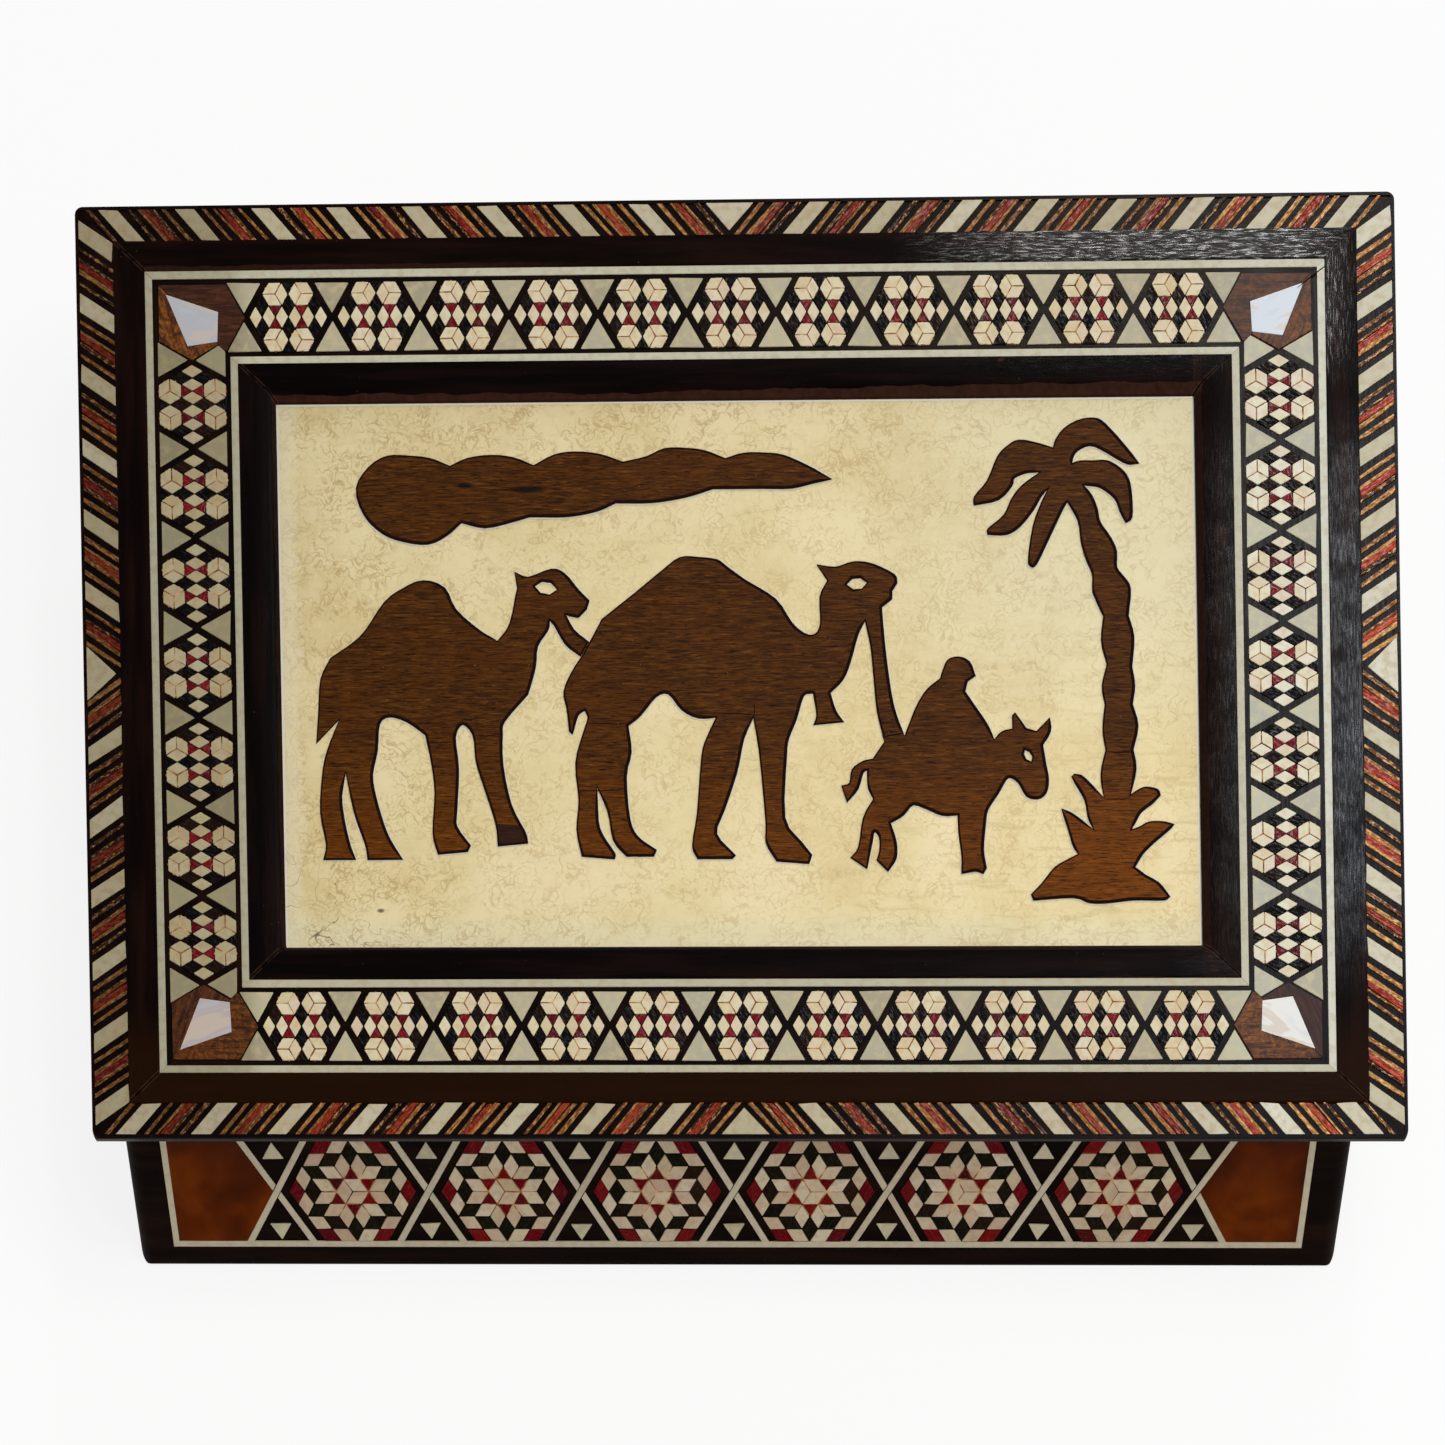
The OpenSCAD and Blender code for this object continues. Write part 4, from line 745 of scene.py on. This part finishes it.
# Rounds the case's upright corners to a larger radius, in mm
def roundCorners(piece, radius=3.0):
    half, middle = caseShape["half"], caseShape["middle"]
    bm = bmesh.new()
    bm.from_mesh(piece.data)
    for axis in (0, 1):
        for sign in (-1, 1):
            for reach in (0.4, 0.8, 1.2, 1.6, 2.0, 2.5, 3.0):
                at, normal = Vector(), Vector()
                at[axis] = (middle[axis] + sign * (half[axis] - reach)) * mm
                normal[axis] = 1
                bmesh.ops.bisect_plane(bm, geom=list(bm.verts) + list(bm.edges) + list(bm.faces), dist=1e-7,
                                       plane_co=at, plane_no=normal)
    for vert in bm.verts:
        away = [radius - (half[i] - abs(vert.co[i] / mm - middle[i])) for i in (0, 1)]
        length = math.hypot(*away)
        if min(away) > 0 and length > radius:
            for i in (0, 1):
                reach = half[i] - radius + away[i] * radius / length
                vert.co[i] = (middle[i] + math.copysign(reach, vert.co[i] / mm - middle[i])) * mm
    bm.to_mesh(piece.data)
    bm.free()


for group, onLid, body in ((inlay, True, "lid"), (caseInlay, False, "case")):
    for node, (finish, slot, wobble, cornerRound, topEase, seed) in group.items():
        piece = liftNode(node, node + "_inlay")
        if node in thinner["nodes"]:
            runOut(piece)
        if "facing" in node:
            roundCorners(piece)
        settle(piece, seed, wobble, onLid, ownTones.get(node))
        easeTesserae(piece, cornerRound, topEase, onLid)
        give(piece, finish)
        finishPiece(piece, body, [node])
print("inlay done")

timber = {  # node: material, slot, body, eased edge in mm
    "bottom_board": ("carcass", "carcass_wood", "case", 0.3),
    "front_wall": ("carcass", "carcass_wood", "case", 0.3),
    "back_wall": ("carcass", "carcass_wood", "case", 0.2),
    "left_wall": ("carcass", "carcass_wood", "case", 0.3),
    "right_wall": ("carcass", "carcass_wood", "case", 0.3),
    "lid_board": ("lidBoard", "carcass_wood", "lid", 0.25),
    "picture_panel": ("cream", "cream_panel", "lid", 0.05),
    "left_hinge_case_leaf": ("brass", "brass", "case", 0.12),
    "right_hinge_case_leaf": ("brass", "brass", "case", 0.12),
    "left_hinge_pin": ("brass", "brass", "case", 0.1),
    "right_hinge_pin": ("brass", "brass", "case", 0.1),
    "case_hinge_screws": ("brass", "brass", "case", 0.06),
    "left_hinge_lid_leaf": ("brass", "brass", "lid", 0.12),
    "right_hinge_lid_leaf": ("brass", "brass", "lid", 0.12),
    "lid_hinge_screws": ("brass", "brass", "lid", 0.06),
}


# Eases the sharp edges of a whole piece
def easeEdges(piece, size, segments=2, sharper=50):
    pick(piece)
    bpy.ops.object.mode_set(mode="EDIT")
    bpy.ops.mesh.select_mode(type="EDGE")
    bpy.ops.mesh.select_all(action="DESELECT")
    bpy.ops.mesh.edges_select_sharp(sharpness=math.radians(sharper))
    bpy.ops.mesh.bevel(offset=size * mm, segments=segments, affect="EDGES", clamp_overlap=True)
    bpy.ops.mesh.select_all(action="DESELECT")
    bpy.ops.object.mode_set(mode="OBJECT")


for node, (finish, slot, body, ease) in timber.items():
    piece = liftNode(node, node + "_finished")
    easeEdges(piece, ease)
    give(piece, finish)
    finishPiece(piece, body, [node], 40)
print("carcass and hinges done")

picture = {  # half widths of the burnt line on upper and on lower or right edges (the extra width low and on the right is painted shadow), how far in it runs, in mm
    "upper": 0.15, "lower": 0.31, "inset": 0.08, "proud": 0.03,
    "figures": ["camel_rear", "camel_front", "donkey_rider", "palm_tree", "cloud"],
    "ropeEnd": [(27.3, -11.6), (27.8, -12.9), (31.9, -12.4), (31.3, -10.9)],  # joins it to the donkey's back
    "cuts": {  # fine saw cuts across the figures, start and end in mm
        "camel_front": [(-28.4, -9.1, -21.4, -9.2), (-30.2, -21.8, -21.7, -21.6), (3.2, -5.5, 3.3, -7.9),
                        (-3.6, -7.4, 3.3, -7.6)],
        "camel_rear": [(-59.5, -12.6, -54.7, -12.4), (-50.4, -11.4, -45.6, -11.2)],
        "palm_tree": [(69.2, -23.8, 74.1, -23.6), (69.5, -14.9, 74.5, -15.1)],
    },
}


# Line round a figure's top: its rim made a curve, thicker low and on the right, where the extra width is
# painted shadow, then flattened.
# A pale one follows the panel's cut edge, on the lower sides alone.
def rimLine(node, pale=False):
    inset = -0.34 if pale else picture["inset"]
    rim = liftNode(node, node + "_rim")
    bm = bmesh.new()
    bm.from_mesh(rim.data)
    top = max(v.co.z for v in bm.verts)
    edges, inward = [], {}
    for edge in bm.edges:
        if all(abs(v.co.z - top) < 1e-5 for v in edge.verts) and len(edge.link_faces) == 2:
            side = [f for f in edge.link_faces if abs(f.normal.z) < 0.5]
            if len(side) == 1:
                edges.append(edge)
                for vert in edge.verts:
                    inward[vert.index] = inward.get(vert.index, Vector()) - side[0].normal
    line = bmesh.new()
    made = {}
    for edge in edges:
        for vert in edge.verts:
            if vert.index not in made:
                push = inward[vert.index].normalized()
                made[vert.index] = line.verts.new(Vector((vert.co.x, vert.co.y, top)) + push * inset * mm)
        line.edges.new([made[v.index] for v in edge.verts])
    lower = {k: max(inward[k].normalized().y, -0.8 * inward[k].normalized().x) for k in made}
    line.to_mesh(rim.data)
    bm.free()
    if pale:
        thick = [0.11 if lower[k] > 0.3 else 0.01 for k in made]
        top -= 0.1 * mm
    else:
        # The extra width on lower and right edges is painted shadow
        growth = picture["lower"] - picture["upper"]
        thick = [picture["upper"] + growth * min(1, max(0, lower[k] * 1.6)) for k in made]
    spots = [(v.co.x, v.co.y) for v in made.values()]
    line.free()
    pick(rim)
    bpy.ops.object.convert(target="CURVE")
    rim.data.dimensions = "3D"
    rim.data.bevel_depth = 1 * mm
    rim.data.bevel_resolution = 1
    for spline in rim.data.splines:
        for point in spline.points:
            away = [(x - point.co.x) ** 2 + (y - point.co.y) ** 2 for x, y in spots]
            near = away.index(min(away))
            point.radius = thick[near]
    bpy.ops.object.convert(target="MESH")
    for vert in rim.data.vertices:
        vert.co.z = top + (vert.co.z - top) * picture["proud"] / picture["upper"]
    return rim


def cutLine(start, end, height, thickness=0.09):
    data = bpy.data.curves.new("cut", "CURVE")
    data.dimensions = "3D"
    spline = data.splines.new("POLY")
    spline.points.add(4)
    dice = random.Random(round(start[0] * 10))
    for i, point in enumerate(spline.points):
        share = i / 4
        point.co = ((start[0] + (end[0] - start[0]) * share + dice.uniform(-0.1, 0.1)) * mm,
                    (start[1] + (end[1] - start[1]) * share + dice.uniform(-0.1, 0.1)) * mm, height, 1)
        point.radius = 1 if 0 < i < 4 else 0.4
    data.bevel_depth = thickness * mm
    data.bevel_resolution = 1
    cut = bpy.data.objects.new("cut", data)
    bpy.context.scene.collection.objects.link(cut)
    pick(cut)
    bpy.ops.object.convert(target="MESH")
    for vert in cut.data.vertices:
        vert.co.z = height + (vert.co.z - height) * 0.15
    return cut


def joinAll(copies, name):
    pick(copies[0])
    for twin in copies[1:]:
        twin.select_set(True)
    bpy.ops.object.join()
    copies[0].name = name
    return copies[0]


for node in picture["figures"]:
    piece = liftNode(node, node + "_finished")
    give(piece, "walnut")
    top = max(v.co.z for v in piece.data.vertices)
    finishPiece(piece, "lid", [node])
    line = rimLine(node)
    cuts = [cutLine(c[:2], c[2:], top) for c in picture["cuts"].get(node, [])]
    line = joinAll([line] + cuts, node + "_burnt_line_and_shadow")
    give(line, "burnt")
    finishPiece(line, "lid")
    edge = rimLine(node, pale=True)
    edge.name = node + "_cut_edge"
    give(edge, "cutEdge")
    finishPiece(edge, "lid")
count = len(picture["ropeEnd"])
ring = range(count)
corners = [(x * mm, y * mm, top + lift * mm) for lift in (-0.1, 0.04) for x, y in picture["ropeEnd"]]
sides = [(i, (i + 1) % count, (i + 1) % count + count, i + count) for i in ring]
data = bpy.data.meshes.new("rope_end")
data.from_pydata(corners, [], [tuple(reversed(ring)), tuple(i + count for i in ring)] + sides)
patch = bpy.data.objects.new("rope_end", data)
bpy.context.scene.collection.objects.link(patch)
give(patch, "walnut")
finishPiece(patch, "lid")
crack = cutLine((106.6, 70.3), (112.6, 74.9), 0.03631, 0.11)
crack.name = "corner_crack"
give(crack, "burnt")
finishPiece(crack, "lid")
print("figures done")

outwards = (bpy.ops.mesh.normals_make_consistent, {"inside": False})


def raised(height):
    return bpy.ops.mesh.extrude_region_move, {"TRANSFORM_OT_translate": {"value": (0, 0, height)}}


soft = {  # pads on card, node: body, crown at the edge in mm, edge radius, fill, seed
    "floor_lining": ("case", 0.9, 2.6, 0.55, 61),
    "lid_lining": ("lid", 0.45, 1.8, 0.5, 62),
}


# A thin pad: flat where it rests, its free face crowned and drawn down to its edges, softly uneven
def makePad(node, body, drop, radius, seed):
    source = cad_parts[node].data
    low = Vector([min(v.co[i] for v in source.vertices) for i in range(3)])
    high = Vector([max(v.co[i] for v in source.vertices) for i in range(3)])
    facing = 1 if body == "case" else -1
    size, middle = high - low, (high + low) / 2
    bpy.ops.mesh.primitive_grid_add(x_subdivisions=76, y_subdivisions=52, size=1)
    pad = bpy.context.object
    pad.name = node + "_pad"
    dice = random.Random(seed)
    limits = (20, 70), (20, 70), (0, 6), (0, 6)
    waves = [[dice.uniform(*pair) for pair in limits] for _ in range(5)]
    reshape(pad, raised(1), outwards)
    for vert in pad.data.vertices:
        x, y, crown = vert.co.x, vert.co.y, vert.co.z > 0.5
        # grid lines gather towards the edges
        x, y = (math.copysign(0.5 * (1 - (1 - abs(2 * t)) ** 1.5), t) for t in (x, y))
        edge = min((0.5 - abs(x)) * size.x, (0.5 - abs(y)) * size.y) / mm
        height = 0
        if crown:
            share = min(1, edge / radius)
            height = size.z / mm - drop * (1 - math.sqrt(1 - (1 - share) ** 2))
            ripple = sum(math.sin(a * x + p) * math.sin(b * y + q) for a, b, p, q in waves) / 5
            height -= 0.16 * size.z / mm * share * (0.5 + 0.5 * ripple)
        inset = 0.35 * (1 - min(1, edge / 1.2)) * mm if not crown else 0
        z = low.z + height * mm if facing > 0 else high.z - height * mm
        vert.co = Vector((middle.x + x * (size.x - 2 * inset), middle.y + y * (size.y - 2 * inset), z))
    reshape(pad, outwards)
    smoother = pad.modifiers.new("soften", "SUBSURF")
    smoother.levels = smoother.render_levels = 1
    bpy.ops.object.modifier_apply(modifier="soften")
    return pad


for node, (body, drop, radius, fill, seed) in soft.items():
    piece = makePad(node, body, drop, radius, seed)
    give(piece, "velvet")
    finishPiece(piece, body, [node], 60)
for node in ("front_lining", "back_lining", "left_lining", "right_lining"):
    piece = liftNode(node, node + "_cloth")
    easeEdges(piece, 0.42, 3, 30)
    give(piece, "velvet")
    finishPiece(piece, "case", [node], 60)
print("velvet done")

blackPieces = {  # sizes of the lid's motifs and of the case's stars, and where their bands lie, in mm
    "side": 2.5, "pitch": 16.87, "bandX": 103.0, "bandY": 66.9, "longCount": 11, "shortCount": 7,
    "top": 36.3, "starSide": 3.1177, "starPitch": 29.79, "starZ": 16.6,
}
sunk = 0.15  # how deep the chips sit below the bone's faces, in mm
fit = 0.965  # a chip's size as a share of its bed


def makeRhomb(name, points, side, proud=0.14):
    middle = sum((Vector((x, y, 0)) for x, y in points), Vector()) / len(points)
    bpy.ops.mesh.primitive_circle_add(vertices=len(points), radius=1, fill_type="NGON")
    chip = bpy.context.object
    chip.name = name
    for vert, (x, y) in zip(chip.data.vertices, points):
        vert.co = ((x - middle.x) * side * fit * mm, (y - middle.y) * side * fit * mm, 0)
    reshape(chip, outwards, raised(proud * mm), outwards)
    return chip, middle * side * mm


def turnedPoints(points, degrees):
    c, s = math.cos(math.radians(degrees)), math.sin(math.radians(degrees))
    return [(x * c - y * s, x * s + y * c) for x, y in points]


# A copy of a chip at every matrix, in place of the chip itself
def stamp(chip, matrices):
    copies = []
    for matrix in matrices:
        twin = chip.copy()
        twin.data = chip.data.copy()
        twin.data.transform(matrix)
        bpy.context.scene.collection.objects.link(twin)
        copies.append(twin)
    bpy.data.objects.remove(chip)
    return copies


# The frame of each of the lid's four mosaic bands, with its number of motifs
def lidBands():
    long, short = blackPieces["longCount"], blackPieces["shortCount"]
    bandX, bandY = blackPieces["bandX"], blackPieces["bandY"]
    height = blackPieces["top"] - sunk
    middles = ((0, -bandY), (bandX, 0), (0, bandY), (-bandX, 0))
    for count, (x, y), turn in zip((long, short) * 2, middles, (0, 90, 180, 270)):
        place = Matrix.Translation(Vector((x * mm, y * mm, height * mm)))
        yield count, place @ Matrix.Rotation(math.radians(turn), 4, "Z")


# The frame of each of the case's four star bands, front first, with its number of stars
def caseBands():
    place = Matrix.Translation(Vector((caseShape["middle"][0] * mm, 0, blackPieces["starZ"] * mm)))
    for side, count in enumerate((6, 4, 6, 4)):
        reach = caseShape["half"][1 - side % 2]
        forwards = Matrix.Translation(Vector((0, -(reach - sunk) * mm, 0)))
        yield count, place @ Matrix.Rotation(math.radians(90 * side), 4, "Z") @ forwards @ Matrix.Rotation(
            math.radians(90), 4, "X")


# Matrices of one chip in every repeat along a band, at places given in mm from the repeat's middle
def along(base, count, pitch, spots, middle=Vector()):
    return [base @ Matrix.Translation(Vector((((i - (count - 1) / 2) * pitch + x) * mm, y * mm, 0)) + middle)
            for i in range(count) for x, y in spots]


side, pitch, starSide, starPitch = [blackPieces[k] for k in ("side", "pitch", "starSide", "starPitch")]
h = math.sqrt(3) / 2  # height of an equilateral triangle of side 1
hexagon = [(math.cos(math.radians(60 * i)), math.sin(math.radians(60 * i))) for i in range(6)]
diamond = [(0.5, 0), (0, h), (-0.5, 0), (0, -h)]
motifSpots = [(x * side, y * h * side) for x in (-2, 0, 2) for y in (-1, 1)]
cubeSpots = [(x * side, y * h * side) for x in (-1, 1) for y in (-2, 2)]
lidChips, lidPlates = [], []
for count, base in lidBands():
    chip, _ = makeRhomb("blackDiamond", diamond, side)
    lidChips += stamp(chip, along(base, count, pitch, motifSpots))
    for sign in (1, -1):
        triangle = [(0, 2 * h * sign), (0.5 * sign, 3 * h * sign), (-0.5 * sign, 3 * h * sign)]
        chip, middle = makeRhomb("blackTriangle", triangle, side)
        lidChips += stamp(chip, along(base, count, pitch, [(0, 0)], middle))
    plate, _ = makeRhomb("gluePlate", turnedPoints(hexagon, 30), side * 0.93, 0.135)
    lidPlates += stamp(plate, along(base, count, pitch, cubeSpots))

caseChips, casePlates = [], []
sixth = ([(2, 0), (2.5, -h), (3, 0), (2.5, h)], [(1.5, h), (2.5, h), (3, 2 * h), (2, 2 * h)])
for count, base in caseBands():
    for i in range(6):
        for points in sixth:
            chip, middle = makeRhomb("blackRhomb", turnedPoints(points, 60 * i), starSide)
            caseChips += stamp(chip, along(base, count, starPitch, [(0, 0)], middle))
    plate, _ = makeRhomb("gluePlate", hexagon, starSide * 1.9, 0.125)
    casePlates += stamp(plate, along(base, count, starPitch, [(0, 0)]))

for plates, name, body in ((lidPlates, "mosaic_joints", "lid"), (casePlates, "star_joints", "case")):
    piece = joinAll(plates, name)
    give(piece, "glue")
    finishPiece(piece, body)
for chips, name, body, finish, seed, wobble in (
        (lidChips, "mosaic_black_rhombs", "lid", "ebonyChip", 51, (0.03, 1.2, 0.03, 0.03)),
        (caseChips, "star_black_rhombs", "case", "caseChip", 52, (0.04, 1.2, 0.02, 0.04))):
    piece = joinAll(chips, name)
    settle(piece, seed, wobble, body == "lid")
    easeTesserae(piece, 0, 0.03, body == "lid")
    give(piece, finish)
    finishPiece(piece, body)
print("black rhombs done")

bpy.ops.mesh.primitive_plane_add(size=12, location=(0, 0, 0))
floor = bpy.context.object
floor.name = "floor"
bpy.ops.object.mode_set(mode="EDIT")
bpy.ops.mesh.select_all(action="SELECT")
bpy.ops.mesh.subdivide(number_cuts=5)
bpy.ops.object.mode_set(mode="OBJECT")
floorMaterial = bpy.data.materials.new("pale floor")
floorMaterial.use_nodes = True
tree = floorMaterial.node_tree
tree.nodes.clear()
rays = add(tree, "ShaderNodeLightPath")
seen = maths(tree, "MAXIMUM", rays.outputs["Is Camera Ray"], rays.outputs["Is Glossy Ray"])
seen = maths(tree, "MAXIMUM", seen, rays.outputs["Is Transmission Ray"])
matt = add(tree, "ShaderNodeBsdfDiffuse", {"Color": colour("F4F3F1")})
white = add(tree, "ShaderNodeEmission", {"Color": (1, 1, 1, 1), "Strength": 1.0})
share = times(tree, seen, 0.86)
both = add(tree, "ShaderNodeMixShader", {"Fac": share, 1: matt.outputs[0], 2: white.outputs[0]})
add(tree, "ShaderNodeOutputMaterial", {"Surface": both.outputs[0]})
floor.data.materials.append(floorMaterial)

world = bpy.data.worlds.new("studio")
bpy.context.scene.world = world
world.use_nodes = True
tree = world.node_tree
sky = add(tree, "ShaderNodeSeparateXYZ", {"Vector": add(tree, "ShaderNodeTexCoord").outputs["Generated"]})
background = tree.nodes["Background"]  # bright round the horizon, dimmer overhead
background.inputs["Color"].default_value = (1, 1, 1, 1)
tree.links.new(span(tree, sky.outputs["Z"], 0.2, 0.5, 1.0, 0.12), background.inputs["Strength"])


def softbox(name, place, target, size, watts, tint=(1, 1, 1)):
    lamp = bpy.data.lights.new(name, "AREA")
    lamp.color = tint
    lamp.shape = "RECTANGLE"
    lamp.size, lamp.size_y = size
    lamp.energy = watts
    holder = bpy.data.objects.new(name, lamp)
    holder.location = place
    holder.rotation_euler = (Vector(target) - Vector(place)).to_track_quat("-Z", "Y").to_euler()
    bpy.context.scene.collection.objects.link(holder)


softbox("key", (0.55, -0.45, 1.35), (0, 0, 0.03), (1.2, 1.2), 18.6)
softbox("rim", (0.21, 1.27, 1.10), (0.085, 0.085, 0.0385), (0.15, 0.12), 1.3, (1.0, 0.84, 0.6))
softbox("side", (0.273, 1.08, 1.10), (0.113, 0, 0.0385), (0.08, 0.16), 2.2, (0.74, 0.85, 1.0))

bpy.context.scene.view_settings.view_transform = "Standard"

lens = {  # the camera's own axes and place, in metres, and its focal length in frame widths
    "right": (0.9971, 0.0516, -0.0566), "up": (0.0175, 0.9997, -0.0149), "back": (-0.0110, -0.7081, 0.7061),
    "place": (-0.01627, -0.86934, 0.89321), "focal": 6369.1 / 1445,
}
cameraData = bpy.data.cameras.new("camera")
cameraData.sensor_width = sensorWidth = 36
cameraData.lens = lens["focal"] * sensorWidth
cameraData.clip_start, cameraData.clip_end = 0.01, 50
camera = bpy.data.objects.new("camera", cameraData)
bpy.context.scene.collection.objects.link(camera)
tripod = bpy.data.objects.new("tripod", None)
bpy.context.scene.collection.objects.link(tripod)
camera.parent = tripod
columns = [lens[k] + (0,) for k in ("right", "up", "back")] + [lens["place"] + (1,)]
camera.matrix_parent_inverse = Matrix(columns).transposed()
bpy.context.scene.camera = camera
